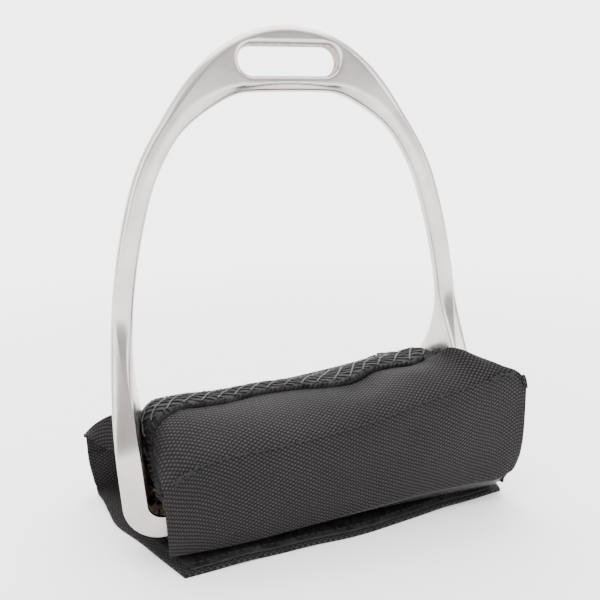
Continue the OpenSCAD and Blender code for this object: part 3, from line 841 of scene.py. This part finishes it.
class Pattern:
    """A Geometry Nodes tree for a thing that repeats, with its sizes as named inputs."""

    def __init__(self, name, **sizes):
        self.tree = bpy.data.node_groups.new(name, "GeometryNodeTree")
        self.ids = {}
        self.tree.interface.new_socket("Geometry", in_out="INPUT", socket_type="NodeSocketGeometry")
        for key, value in sizes.items():
            kind = "NodeSocketInt" if isinstance(value, int) else "NodeSocketFloat"
            socket = self.tree.interface.new_socket(key, in_out="INPUT", socket_type=kind)
            socket.default_value = value
            self.ids[key] = socket.identifier
        self.tree.interface.new_socket("Geometry", in_out="OUTPUT", socket_type="NodeSocketGeometry")
        self.entry = self.tree.nodes.new("NodeGroupInput")
        self.leave = self.tree.nodes.new("NodeGroupOutput")

    def add(self, kind, inputs=None, **settings):
        node = self.tree.nodes.new(kind)
        for key, value in settings.items():
            setattr(node, key, value)
        for key, value in (inputs or {}).items():
            socket = node.inputs[key]
            if isinstance(value, str):
                self.tree.links.new(self.entry.outputs[value], socket)
            elif isinstance(value, bpy.types.Node):
                self.tree.links.new(value.outputs[0], socket)
            elif isinstance(value, bpy.types.NodeSocket):
                self.tree.links.new(value, socket)
            else:
                socket.default_value = value
        return node

    def close(self, geometry, material):
        real = self.add("GeometryNodeRealizeInstances", {0: geometry})
        smooth = self.add("GeometryNodeSetShadeSmooth", {0: real})
        painted = self.add("GeometryNodeSetMaterial", {0: smooth})
        painted.inputs["Material"].default_value = material
        self.tree.links.new(painted.outputs[0], self.leave.inputs[0])
        return self

    def run(self, name, paths, **sizes):
        """Runs the tree over paths, lists of points in millimetres, and returns a plain mesh object."""
        points, edges = [], []
        for path in paths:
            base = len(points)
            points += [tuple(float(c) * MM for c in q) for q in path]
            edges += [(base + k, base + k + 1) for k in range(len(path) - 1)]
        mesh = bpy.data.meshes.new(name)
        mesh.from_pydata(points, edges, [])
        obj = bpy.data.objects.new(name, mesh)
        bpy.context.scene.collection.objects.link(obj)
        modifier = obj.modifiers.new(self.tree.name, "NODES")
        modifier.node_group = self.tree
        for key, value in sizes.items():
            modifier[self.ids[key]] = value
        return settle(obj)


coated = Wires("coated_mesh")
at = coated.here()
shine = coated.noise(at, 900.0, 2.0)
coated.surface(coated.ramp(coated.noise(at, 70.0, 3.0), [(0.3, (0.003, 0.0029, 0.0030)),
                                                         (0.75, (0.006, 0.0058, 0.0059))]),
               coated.math("MULTIPLY_ADD", shine, 0.3, 0.42), 0.2, (0.4, 0.0002, shine))
cord_mat = Wires("mesh_cord")
grime = cord_mat.noise(cord_mat.here(), 240.0, 3.0)
cord_mat.surface(cord_mat.ramp(grime, [(0.3, (0.008, 0.0078, 0.0080)), (0.7, (0.022, 0.0213, 0.0216))]),
                 0.55, 0.2, (0.3, 0.0002, grime))
wide_mat = Wires("mesh_cord_wide")
wear = wide_mat.noise(wide_mat.here(), 160.0, 3.0)
wide_mat.surface(wide_mat.ramp(wear, [(0.3, (0.014, 0.0137, 0.0140)), (0.7, (0.040, 0.039, 0.0398))]), 0.5, 0.25)
grip_mesh = cloth_piece("grip_mesh_sheet", mesh_grid, mesh_uv, coated.mat, 1.0,
                        mesh_out[:, None, :] + 0 * mesh_grid)
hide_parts("grip_mesh")
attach(grip_mesh, "iron_and_pad")

cords = Pattern("cords", Radius=0.3 * MM, Sides=5)
strand = cords.add("GeometryNodeMeshToCurve", {0: "Geometry"})
ring = cords.add("GeometryNodeCurvePrimitiveCircle", {"Resolution": "Sides", "Radius": "Radius"})
cords.close(cords.add("GeometryNodeCurveToMesh", {0: strand, 1: ring, "Fill Caps": True}), cord_mat.mat)
mesh_normal = normals_of(mesh_grid)
if np.sum(mesh_normal * mesh_out[:, None, :]) < 0:
    mesh_normal = -mesh_normal


def slanted(pitch, run, lift, step, sway, seed):
    """Lines across the mesh between its serged edges. Run is how far along the mesh a line moves on its way from
    the front edge to the back one, and lift is its height over the sheet."""
    rng = np.random.default_rng(seed)
    lines = []
    total, width = mesh_u[-1], mesh_v[-1]
    for start in np.arange(-abs(run) + pitch / 2, total + abs(run), pitch):
        across = np.arange(2.6, width - 2.2, step)
        along = start + run * across / width + sway * np.sin(across / 1.9 + rng.uniform(0, 6.3))
        ok = (along > 0.5) & (along < total - 0.5)
        if ok.sum() < 4:
            continue
        a = np.interp(along[ok], mesh_u, np.arange(len(mesh_u)))
        b = np.interp(across[ok], mesh_v, np.arange(len(mesh_v)))
        raised = lift + 0.15 * np.sin(across[ok] * 2.1 + start)
        lines.append(on_surface(mesh_grid, mesh_normal, a, b, raised))
    return lines


wide_lines = slanted(pitch=6.6, run=17.0, lift=0.30, step=0.9, sway=0.25, seed=3)
close_lines = slanted(pitch=4.6, run=-42.0, lift=0.12, step=0.8, sway=0.35, seed=4)
wide_cords = cords.run("mesh_cords_wide", wide_lines, **{"Radius": 0.40 * MM, "Sides": 6})
close_cords = cords.run("mesh_cords_close", close_lines, **{"Radius": 0.38 * MM, "Sides": 5})
wide_cords.data.materials[0] = wide_mat.mat
for piece in (wide_cords, close_cords):
    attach(piece, "iron_and_pad")

# ---------------------------------------------------------------- serged edges
# Thick textured overlock thread is looped round the mesh's edges, to bind them and join them to the nylon. At the
# left end three cords have come loose beside the edge.
thread = Wires("overlock_thread")
at = thread.here()
fuzz = thread.noise(at, 1500.0, 3.0)
thread.surface(thread.ramp(thread.noise(at, 120.0, 2.0), [(0.35, (0.004, 0.004, 0.0041)),
                                                          (0.65, (0.0135, 0.0134, 0.0138))]),
               thread.math("MULTIPLY_ADD", fuzz, 0.2, 0.6), 0.12, (0.5, 0.0002, fuzz))
serging = Pattern("serging", Pitch=1.3 * MM, Loop=1.2 * MM, Thread=0.4 * MM, Seed=1)
strand = serging.add("GeometryNodeMeshToCurve", {0: "Geometry"})
spaced = serging.add("GeometryNodeResampleCurve", {0: strand, "Length": "Pitch"}, mode="LENGTH")
loop_ring = serging.add("GeometryNodeCurvePrimitiveCircle", {"Resolution": 9, "Radius": "Loop"})
bore = serging.add("GeometryNodeCurvePrimitiveCircle", {"Resolution": 5, "Radius": "Thread"})
round_loop = serging.add("GeometryNodeCurveToMesh", {0: loop_ring, 1: bore})
one_loop = serging.add("GeometryNodeTransform", {0: round_loop, "Rotation": (0.55, 0.25, 0),
                                                 "Scale": (1.15, 0.9, 1.0)})
tangent = serging.add("GeometryNodeInputTangent")
facing = serging.add("FunctionNodeAlignRotationToVector", {"Vector": tangent}, axis="Z")
jitter = serging.add("FunctionNodeRandomValue", {"Seed": "Seed"}, data_type="FLOAT_VECTOR")
jitter.inputs[0].default_value, jitter.inputs[1].default_value = (0.75, 0.75, 0.9), (1.3, 1.3, 1.2)
loops_on = serging.add("GeometryNodeInstanceOnPoints", {"Points": spaced, "Instance": one_loop,
                                                        "Rotation": facing, "Scale": jitter})
core_ring = serging.add("GeometryNodeCurvePrimitiveCircle", {"Resolution": 8, "Radius": "Loop"})
core = serging.add("GeometryNodeCurveToMesh", {0: strand, 1: core_ring, "Fill Caps": True})
loops_and_core = serging.add("GeometryNodeJoinGeometry", {0: loops_on})
serging.tree.links.new(core.outputs[0], loops_and_core.inputs[0])
serging.close(loops_and_core, thread.mat)
across = mesh_back - mesh_front
across /= np.linalg.norm(across, axis=1, keepdims=True)
edge_front = mesh_front + 1.2 * across + 0.3 * mesh_out
edge_back = mesh_back - 0.2 * across - 0.5 * mesh_out
left_part, top_part, right_part = S < -56, (S > -57.5) & (S < 57.5), S > 56
for name, node, line, keep in (("serging_front", "serged_front", edge_front, top_part),
                               ("serging_back", "serged_back", edge_back, top_part),
                               ("serging_left", "serged_left", edge_front, left_part),
                               ("serging_right", "serged_right", edge_front, right_part)):
    edge = serging.run(name, [line[keep]], **{"Pitch": 1.85 * MM, "Loop": 1.2 * MM, "Thread": 0.52 * MM,
                                              "Seed": len(name)})
    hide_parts(node)
    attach(edge, "iron_and_pad")
loose = []
part = S < -50
for off, sway, lean in ((3.5, 0.5, 0.0), (4.8, 0.7, 1.3), (6.2, 0.5, 2.2)):
    wave = np.sin(S[part] / 1.7 + lean)[:, None]
    loose.append(mesh_front[part] + off * across[part] + mesh_out[part] * (0.9 + 0.35 * wave)
                 + sway * wave * across[part])
loose_cords = cords.run("loose_cords_left", loose, **{"Radius": 0.5 * MM, "Sides": 6})
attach(loose_cords, "iron_and_pad")

# ---------------------------------------------------------------- pad pocket
# The pocket that holds the foam: a nylon sheet under it, turned up in front and behind to the folds.
UP = np.linspace(-55, 55, 40)
POCKET_Z, TURNED_Z, UNDER_FOLD, TURNED_ROWS = 20.25, 23.5, 2.5, 8
front_top = line_of(FOLD, np.clip(UP, -50, 80))[:, 1] - UNDER_FOLD
back_top = line_of(BACK_FOLD, np.clip(UP, -60, 50))[:, 2] - UNDER_FOLD
pocket_rows = []
for k in range(TURNED_ROWS):
    t = k / TURNED_ROWS
    pocket_rows.append(np.column_stack([UP, mix(-25.6, -24.2, t) + 0 * UP, mix(front_top, TURNED_Z, t)]))
for t in np.linspace(0, 1, 22):
    raised = 2.2 * (abs(2 * t - 1) ** 8) + ripple(UP, t * 40, 2, 0.15) ** 2
    pocket_rows.append(np.column_stack([UP, np.full(len(UP), mix(-23.4, 23.6, t)), POCKET_Z + raised]))
for k in range(1, TURNED_ROWS + 1):
    t = k / TURNED_ROWS
    pocket_rows.append(np.column_stack([UP, mix(24.4, 29.8, t) + 0 * UP, mix(TURNED_Z, back_top, t)]))
pocket_grid = np.stack(pocket_rows, axis=1)
pocket_uv = np.stack(np.meshgrid(UP, arc_lengths(pocket_grid[20]), indexing="ij"), axis=2)
pocket_out = np.zeros_like(pocket_grid)
pocket_out[..., 2] = -1
pocket = cloth_piece("pad_pocket", pocket_grid, pocket_uv, nylon, 0.8, pocket_out)
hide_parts("pocket_base")
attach(pocket, "iron_and_pad")

# ---------------------------------------------------------------- foam pad
# A block of soft foam, crowned along its top, higher at the right end, where a boot has not pressed it.
foam_mat = Wires("cream_foam")
cells = foam_mat.add("TexVoronoi", {"Vector": foam_mat.here(), "Scale": 900.0}).outputs["Distance"]
foam_mat.surface(foam_mat.ramp(cells, [(0.0, (0.34, 0.31, 0.22)), (0.5, (0.72, 0.68, 0.54))]), 0.95,
                 bump=(0.6, 0.0003, cells))
FOAM_LOW, FOAM_MIDDLE = 22.6, np.array([0.5, 36.0])
foam_rings = []
for x in np.concatenate([[-54.0], np.linspace(-53, 53, 34), [54.0]]):
    squeeze = 0.55 if abs(x) > 53.5 else 0.9 if abs(x) > 52.5 else 1.0
    top = crest_at(np.clip(x, -60, 60)) - 4.0
    fold_here = line_of(FOLD, np.clip(x, -50, 60))[1] - 4.0
    back_here = line_of(BACK_FOLD, np.clip(x, -60, 50))[2] - 3.0
    seam_here = line_of(MESH_BACK, np.clip(x, -56, 52))[2] - 3.0
    outline = [(-22.5, FOAM_LOW), (-22.8, mix(FOAM_LOW, fold_here, 0.5)), (-21.5, fold_here),
               (-14, mix(fold_here, top, 0.42)), (-5, top - 1.6), (2, top - 0.3), (8, top - 1.0),
               (14, mix(top, seam_here, 0.6)), (20, seam_here - 0.5), (24.0, back_here),
               (23.5, mix(FOAM_LOW, back_here, 0.5)), (22.8, FOAM_LOW), (8, 22.2), (-8, 22.2)]
    foam_rings.append([(x, *(FOAM_MIDDLE + (np.array(q) - FOAM_MIDDLE) * squeeze)) for q in outline])
foam_points = np.array(foam_rings)
n, m = foam_points.shape[:2]
foam_polys = [(i * m + j, i * m + (j + 1) % m, (i + 1) * m + (j + 1) % m, (i + 1) * m + j)
              for i in range(n - 1) for j in range(m)]
foam_polys += [tuple(range(m))[::-1], tuple((n - 1) * m + j for j in range(m))]
foam = mesh_piece("foam_pad", foam_points.reshape(-1, 3), foam_polys, foam_mat.mat)
bm = bmesh.new()
bm.from_mesh(foam.data)
bmesh.ops.recalc_face_normals(bm, faces=bm.faces)
bm.to_mesh(foam.data)
bm.free()
rounder = foam.modifiers.new("rounder", "SUBSURF")
rounder.levels = rounder.render_levels = 1
foam = settle(foam)
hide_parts("foam_core")
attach(foam, "iron_and_pad")

# ---------------------------------------------------------------- back panel
# The same nylon behind: a narrow slope, the fold, and a wing that goes on down to the ground. Past the pad's
# left end it is an ear whose free edge has sagged forward behind the branch.
BACK_SEAM = [(-84.4, -84.6, 28.6, 29.6), (-81.5, -82.0, 27.0, 27.4), (-78, -78.5, 26.0, 24.2),
             (-73.5, -73.5, 24.7, 21.4), (-68.5, -68.0, 23.8, 23.5), (-63.5, -62.5, 23.0, 31.5),
             (-59, -58.4, 22.3, 39.0), (-54.5, -54.6, 21.2, 43.0), (-48, -48.5, 20.5, 43.8),
             (-30, -30, 20.2, 43.8), (-10, -10, 21.1, 44.2), (5, 5, 20.3, 45.0), (20, 20, 20.8, 46.8), (35, 35, 20.1, 49.0),
             (45, 46, 20.6, 50.4), (49, 51.5, 21.8, 50.6), (51, 54.6, 25.0, 49.8), (52.4, 54.8, 29.5, 47.6)]
# How far the left edge draws in, against its height.
LEFT_EDGE = [(2.6, 1.9), (5, 1.0), (8, 0.6), (16, -0.3), (24, -0.1), (29, 0)]
UB = np.concatenate([np.linspace(-84.4, -58, 36), np.linspace(-57, 45, 74), np.linspace(45.6, 52.4, 12)])
back_seam, back_fold = line_of(BACK_SEAM, UB), line_of(BACK_FOLD, UB)
SPLIT_Z, TURN_Z = 20.0, 3.6                   # where the flap's piece takes over, and where its turn begins


def back_wing_row(t):
    """One row of the back wing: t is 0 along the fold, 1 at the height where the flap's piece takes over,
    and 2 just above the turn on the ground."""
    top = back_fold
    z = mix(top[:, 2], SPLIT_Z, min(t, 1)) + 0 * UB + min(0, (1 - t) * (SPLIT_Z - TURN_Z))
    depth = (top[:, 2] - z) / (top[:, 2] - 3.0)
    out = 0.9 * np.sin(np.pi * depth) + ripple(UB, z * 1.3, 31, 0.7) * np.sin(np.pi * depth)
    y = mix(top[:, 1], 31.2, ease(0, 1, depth)) + out
    near_left = np.exp(-(UB + 84.4) / 5)
    x = top[:, 0] + near_left * line_of(LEFT_EDGE, z)[..., 0]
    return np.column_stack([x, y - near_left * 1.2 * depth, z])


slope_rows = []
ear = 1 - ease(-66, -56, UB)
for t in 1 - (1 - np.linspace(0, 1, 14)) ** 1.3:
    bulge = 4 * t * (1 - t)
    swell = np.column_stack([0 * UB, bulge * (0.6 * (1 - ear) - 0.8 * ear),
                             bulge * (1.0 - 1.7 * ear + 0.3 * ripple(UB, t * 20, 12, 1.0))])
    slope_rows.append(mix(back_seam, back_fold, t) + swell)
back_grid = np.stack(slope_rows + [back_wing_row(t) for t in np.linspace(0, 1, 14)[1:]], axis=1)
back_steps = np.linalg.norm(np.diff(back_grid[:, ::-1], axis=1), axis=2)
above = np.concatenate([np.cumsum(back_steps, axis=1)[:, ::-1], np.zeros((len(UB), 1))], axis=1)
back_uv = np.stack([np.repeat(UB[:, None], back_grid.shape[1], axis=1), 31.5 + SPLIT_Z + above], axis=2)
back_out = np.zeros_like(back_grid)
back_out[..., 1] = 1
back_out[..., 2] = 0.3
back_panel = cloth_piece("back_panel", back_grid, back_uv, nylon, 0.9, back_out)
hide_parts("back_slope", "back_wing")
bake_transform(back_panel)

# ---------------------------------------------------------------- bottom flap
# The back wing's cloth goes on: it turns in on the ground and lies forward under the tread, where its loop
# tape meets the hooks. Its left front corner is cut away.
# Each edge of the part on the ground: the left and right ones from back to front, the front one from the left.
FLAP_LEFT = [(0, -82.4, 27.6), (0.12, -79.9, 21.5), (0.28, -77.2, 13), (0.45, -74.0, 4.2),
             (0.66, -64.8, -9.1), (0.84, -57.0, -21.4), (1, -49.7, -32.6)]
FLAP_RIGHT = [(0, 52.4, 28.2), (0.12, 60.0, 26.8), (0.22, 67.0, 22.5), (0.4, 73.5, 9), (0.6, 78.5, -4),
              (0.9, 82.9, -16.2), (1, 82.2, -19.2)]
FLAP_FRONT = [(-49.7, -32.6), (-31.8, -31.1), (-7.9, -29.6), (15.7, -28.8), (41.2, -24.9), (62, -21.9),
              (82.2, -19.2)]
t_rows = np.linspace(0, 1, 44)
left_line, right_line = line_of(FLAP_LEFT, t_rows), line_of(FLAP_RIGHT, t_rows)
s_cols = (UB - UB[0]) / (UB[-1] - UB[0])
front_x = mix(-49.7, 82.2, s_cols)
front_line = np.column_stack([front_x, line_of(FLAP_FRONT, front_x)[..., 0]])
last = back_wing_row(2.0)
back_line = np.column_stack([last[:, 0], np.full(len(UB), 27.9)])
back_line[0], back_line[-1] = left_line[0], right_line[0]
ss, tt = np.meshgrid(s_cols, t_rows, indexing="ij")
ss, tt = ss[..., None], tt[..., None]
flat_part = (mix(left_line[None, :], right_line[None, :], ss)
             + mix(back_line[:, None], front_line[:, None], tt)
             - mix(mix(left_line[0], right_line[0], ss), mix(left_line[-1], right_line[-1], ss), tt))


def flap_height(x, y):
    """The cloth's lower face over the ground: it lifts a little towards the left corner and in low waves."""
    return 0.05 + 0.35 * ripple(x, y, 41, 1.0) ** 2 + 0.9 * np.exp(-((x + 79) / 9) ** 2) * ease(2, 24, y)


turn_rows = []
for k in range(1, 8):
    a = math.pi / 2 * k / 8
    along = mix(last[:, :2], back_line, 1 - math.cos(a))
    turn_z = mix(last[:, 2], flap_height(back_line[:, 0], back_line[:, 1]), math.sin(a))
    turn_rows.append(np.column_stack([along, turn_z]))
flat_rows = [np.column_stack([flat_part[:, j], flap_height(flat_part[:, j, 0], flat_part[:, j, 1])])
             for j in range(len(t_rows))]
HUNG_ROWS = 9
hung_rows = [back_wing_row(t) for t in np.linspace(1, 2, HUNG_ROWS)]
flap_grid = np.stack(hung_rows + turn_rows + flat_rows, axis=1)
flap_uv = flap_grid[..., :2].copy()
down = HUNG_ROWS + len(turn_rows)
steps = np.linalg.norm(np.diff(flap_grid[:, :down + 1], axis=1), axis=2)
flap_uv[:, :down, 1] = flap_grid[:, [down], 1] + np.cumsum(steps[:, ::-1], axis=1)[:, ::-1]
flap_uv[:, :down, 0] = UB[:, None]
flap_out = np.zeros_like(flap_grid)
flap_out[:, :HUNG_ROWS, 1] = 1
flap_out[:, HUNG_ROWS:, 2] = -1
flap = cloth_piece("flap_panel", flap_grid, flap_uv, nylon, 1.1, flap_out)
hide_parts("bottom_flap")
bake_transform(flap)

# ---------------------------------------------------------------- loop tape
# A woven tape with a napped loop pile, sewn on the flap close behind its front edge.
pile_mat = Wires("loop_pile")
at = pile_mat.add("TexCoord").outputs["Object"]
nap = pile_mat.add("TexNoise", {"Vector": at, "Scale": 1100.0, "Detail": 4.0, "Roughness": 0.8})
tuft = pile_mat.add("TexNoise", {"Vector": at, "Scale": 300.0, "Detail": 2.0})
pile_mat.to(pile_mat.shader.inputs["Base Color"], pile_mat.ramp(tuft.outputs[0], [(0.3, (0.004, 0.004, 0.005)),
                                                                            (0.75, (0.020, 0.020, 0.022))]))
pile_mat.shader.inputs["Roughness"].default_value = 0.9
pile_mat.shader.inputs["Specular IOR Level"].default_value = 0.15
pile_mat.to(pile_mat.shader.inputs["Normal"], pile_mat.add("Bump", {"Strength": 0.8, "Distance": 0.0004,
                                                                    "Height": nap.outputs[0]}))
TAPE_X = np.linspace(-47.6, 78, 100)
TAPE_V = np.linspace(0, 1, 14)
CLOTH_UP = 1.15
tape_rows = []
for v in TAPE_V:
    y = line_of(FLAP_FRONT, TAPE_X)[..., 0] + 2.0 + 23 * v
    x = TAPE_X - 0.64 * 23 * v * (1 - ease(-47.6, -10, TAPE_X))
    tape_rows.append(np.column_stack([x, y, flap_height(x, y) + CLOTH_UP + 0.75]))
tape_grid = np.stack(tape_rows, axis=1)
up_out = np.zeros_like(tape_grid)
up_out[..., 2] = 1
loop_tape = cloth_piece("loop_tape", tape_grid, tape_grid[..., :2], pile_mat.mat, 0.8, up_out)
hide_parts("loop_strip")
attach(loop_tape, "bottom_flap")

pile = Pattern("pile", Height=0.0006, Density=900000.0, Seed=5)
scatter = pile.add("GeometryNodeDistributePointsOnFaces", {0: "Geometry", "Density": "Density", "Seed": "Seed"})
bow = pile.add("GeometryNodeCurveArc", {"Resolution": 6, "Radius": "Height", "Start Angle": 0.0, "Sweep Angle": 3.5})
thin = pile.add("GeometryNodeCurvePrimitiveCircle", {"Resolution": 3, "Radius": 0.00011})
one = pile.add("GeometryNodeTransform", {0: pile.add("GeometryNodeCurveToMesh", {0: bow, 1: thin}),
                                         "Rotation": (math.pi / 2, 0, 0)})
spin = pile.add("FunctionNodeRandomValue", {"Seed": "Seed"}, data_type="FLOAT_VECTOR")
spin.inputs[0].default_value, spin.inputs[1].default_value = (-0.7, -0.7, 0), (0.7, 0.7, 6.28)
grow = pile.add("FunctionNodeRandomValue", {"Seed": "Seed"}, data_type="FLOAT")
grow.inputs[2].default_value, grow.inputs[3].default_value = 0.7, 1.4
pile.close(pile.add("GeometryNodeInstanceOnPoints", {"Points": scatter, "Instance": one, "Rotation": spin,
                                                     "Scale": grow.outputs[1]}), pile_mat.mat)
top_skin = mesh_piece("loop_pile", tape_grid[:, 1:-1].reshape(-1, 3), grid_faces(100, 12), pile_mat.mat)
if top_skin.data.polygons[0].normal.z < 0:
    top_skin.data.flip_normals()
nodes = top_skin.modifiers.new("pile", "NODES")
nodes.node_group = pile.tree
nodes[pile.ids["Seed"]] = 11
loop_pile = settle(top_skin)
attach(loop_pile, "bottom_flap")
selvedge = cords.run("loop_tape_selvedge", [tape_grid[:, 0] + [0, -0.2, -0.35], tape_grid[:, -1] + [0, 0.2, -0.35]],
                     **{"Radius": 0.38 * MM, "Sides": 6})
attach(selvedge, "bottom_flap")

# ---------------------------------------------------------------- hook tape
# The tape of small moulded hooks is sewn under the front wing's return, hooks down on the loops.
HOOK_X = np.linspace(-50.5, 78.2, 70)
HOOK_Y = np.linspace(-24.9, -5.0, 16)


def return_height(x, y):
    """Lower face of the front wing's return, at a place under the tread."""
    foot_here = line_of(FOOT, x)
    run = y - foot_here[..., 0] - 0.4
    return mix(foot_here[..., 1], 5.4, ease(0, 5.5, run))


hx, hy = np.meshgrid(HOOK_X, HOOK_Y, indexing="ij")
hook_grid = np.stack([hx, hy, return_height(hx, hy) - 0.15], axis=2)
hook_mat = Wires("hook_plastic")
at = hook_mat.add("TexCoord").outputs["Object"]
scuff = hook_mat.add("TexNoise", {"Vector": at, "Scale": 700.0, "Detail": 2.0})
hook_mat.to(hook_mat.shader.inputs["Base Color"], hook_mat.ramp(scuff.outputs[0], [(0.3, (0.006, 0.006, 0.007)),
                                                                             (0.8, (0.020, 0.020, 0.022))]))
hook_mat.shader.inputs["Roughness"].default_value = 0.45
hook_mat.to(hook_mat.shader.inputs["Normal"], hook_mat.add("Bump", {"Strength": 0.3, "Distance": 0.0002,
                                                                    "Height": scuff.outputs[0]}))
hook_up = np.zeros_like(hook_grid)
hook_up[..., 2] = 1
hook_tape = cloth_piece("hook_tape", hook_grid, hook_grid[..., :2], hook_mat.mat, 0.75, hook_up)
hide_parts("hook_strip")
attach(hook_tape, "front_wing")

hooks = Pattern("hooks", Height=0.0005, Thickness=0.00013)
bend = hooks.add("GeometryNodeCurveArc", {"Resolution": 5, "Radius": "Height", "Start Angle": 0.0, "Sweep Angle": 3.9})
wire = hooks.add("GeometryNodeCurvePrimitiveCircle", {"Resolution": 4, "Radius": "Thickness"})
one = hooks.add("GeometryNodeTransform", {0: hooks.add("GeometryNodeCurveToMesh", {0: bend, 1: wire}),
                                          "Rotation": (-math.pi / 2, 0, 0)})
hooks.close(hooks.add("GeometryNodeInstanceOnPoints", {"Points": "Geometry", "Instance": one}), hook_mat.mat)
px, py = np.meshgrid(np.arange(-49.2, 77.5, 1.7), np.arange(-23.6, -6, 1.7), indexing="ij")
spots = np.stack([px, py, return_height(px, py) - 0.88], axis=2).reshape(-1, 3)
hook_field = hooks.run("hooks", [[q] for q in spots], **{"Height": 0.42 * MM, "Thickness": 0.13 * MM})
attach(hook_field, "front_wing")

# ---------------------------------------------------------------- sewing
# Bonded black thread: one row of lockstitches along each fold, backstitched at both ends, and rows along
# the tapes. Each stitch is a short plump strand that dips at its ends.
sewing = Wires("sewing_thread")
at = sewing.add("TexCoord").outputs["Object"]
ply = sewing.add("TexNoise", {"Vector": at, "Scale": 2000.0, "Detail": 2.0})
sewing.to(sewing.shader.inputs["Base Color"], sewing.ramp(ply.outputs[0], [(0.3, (0.0090, 0.0096, 0.0106)),
                                                                         (0.8, (0.0230, 0.0244, 0.0262))]))
sewing.shader.inputs["Roughness"].default_value = 0.6
sewing.shader.inputs["Specular IOR Level"].default_value = 0.15
sewing.to(sewing.shader.inputs["Normal"], sewing.add("Bump", {"Strength": 0.4, "Distance": 0.0001,
                                                              "Height": ply.outputs[0]}))
stitches = Pattern("stitches", Pitch=0.003, Length=0.0024, Thread=0.0003)
strand = stitches.add("GeometryNodeMeshToCurve", {0: "Geometry"})
spaced = stitches.add("GeometryNodeResampleCurve", {0: strand, "Length": "Pitch"}, mode="LENGTH")
ball = stitches.add("GeometryNodeMeshUVSphere", {"Segments": 7, "Rings": 6, "Radius": 1.0})
half = stitches.add("ShaderNodeMath", {0: "Length", 1: 0.5}, operation="MULTIPLY")
sizes = stitches.add("ShaderNodeCombineXYZ", {0: half, 1: "Thread", 2: "Thread"})
one = stitches.add("GeometryNodeTransform", {0: ball, "Scale": sizes})
tangent = stitches.add("GeometryNodeInputTangent")
facing = stitches.add("FunctionNodeAlignRotationToVector", {"Vector": tangent}, axis="X")
stitches.close(stitches.add("GeometryNodeInstanceOnPoints", {"Points": spaced, "Instance": one, "Rotation": facing}),
               sewing.mat)


def fold_line(table, u, y_shift, lift):
    line = line_of(table, u)
    if line.shape[1] == 2:
        line = np.column_stack([u, line])
    return line + [0, y_shift, lift]


front_u = np.linspace(-43.5, 73, 90)
top_front = stitches.run("topstitching_front", [fold_line(FOLD, front_u, -0.15, 0.25)],
                         **{"Pitch": 3.1 * MM, "Length": 3.0 * MM, "Thread": 0.24 * MM})
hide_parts("topstitch_front")
back_u = np.linspace(-47, 42, 80)
top_back = stitches.run("topstitching_back", [fold_line(BACK_FOLD, back_u, 0.15, 0.25)],
                        **{"Pitch": 3.1 * MM, "Length": 3.0 * MM, "Thread": 0.24 * MM})
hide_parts("topstitch_back")
made = [top_front, top_back]
tacks = [("bartack_front_left", FOLD, -50, -42, -0.2), ("bartack_front_right", FOLD, 69, 79, -0.2),
         ("bartack_back_left", BACK_FOLD, -57, -47, 0.2), ("bartack_back_right", BACK_FOLD, 42, 51, 0.2)]
for k, (node, table, u0, u1, out) in enumerate(tacks):
    rng = np.random.default_rng(50 + k)
    paths = []
    for r in range(4):
        u = np.linspace(u0 + rng.uniform(0, 1.5), u1 - rng.uniform(0, 1.5), 12)
        line = fold_line(table, u, out, 0.15)
        line[:, 2] += 0.7 * np.sin(u * 0.9 + r * 1.7) + rng.uniform(-0.3, 0.5)
        line[:, 1] += out * 0.8
        paths.append(line)
    tack = stitches.run("sewn_" + node, paths, **{"Pitch": 2.0 * MM, "Length": 2.3 * MM, "Thread": 0.36 * MM})
    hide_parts(node)
    made.append(tack)
for piece in made:
    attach(piece, "iron_and_pad")

tape_lines = [tape_grid[2:-2, j] + [0, 0, 0.25] for j in (1, -2)]
loop_rows = stitches.run("loop_tape_stitching", tape_lines, **{"Pitch": 2.6 * MM, "Length": 2.3 * MM,
                                                               "Thread": 0.3 * MM})
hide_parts("loop_stitching")
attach(loop_rows, "bottom_flap")
hook_lines = [np.column_stack([HOOK_X[2:-2], np.full(66, y), return_height(HOOK_X[2:-2], y) + 1.05])
              for y in (-23.4, -6.4)]
hook_rows = stitches.run("hook_tape_stitching", hook_lines, **{"Pitch": 2.6 * MM, "Length": 2.3 * MM,
                                                               "Thread": 0.25 * MM})
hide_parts("hook_stitching")
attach(hook_rows, "front_wing")
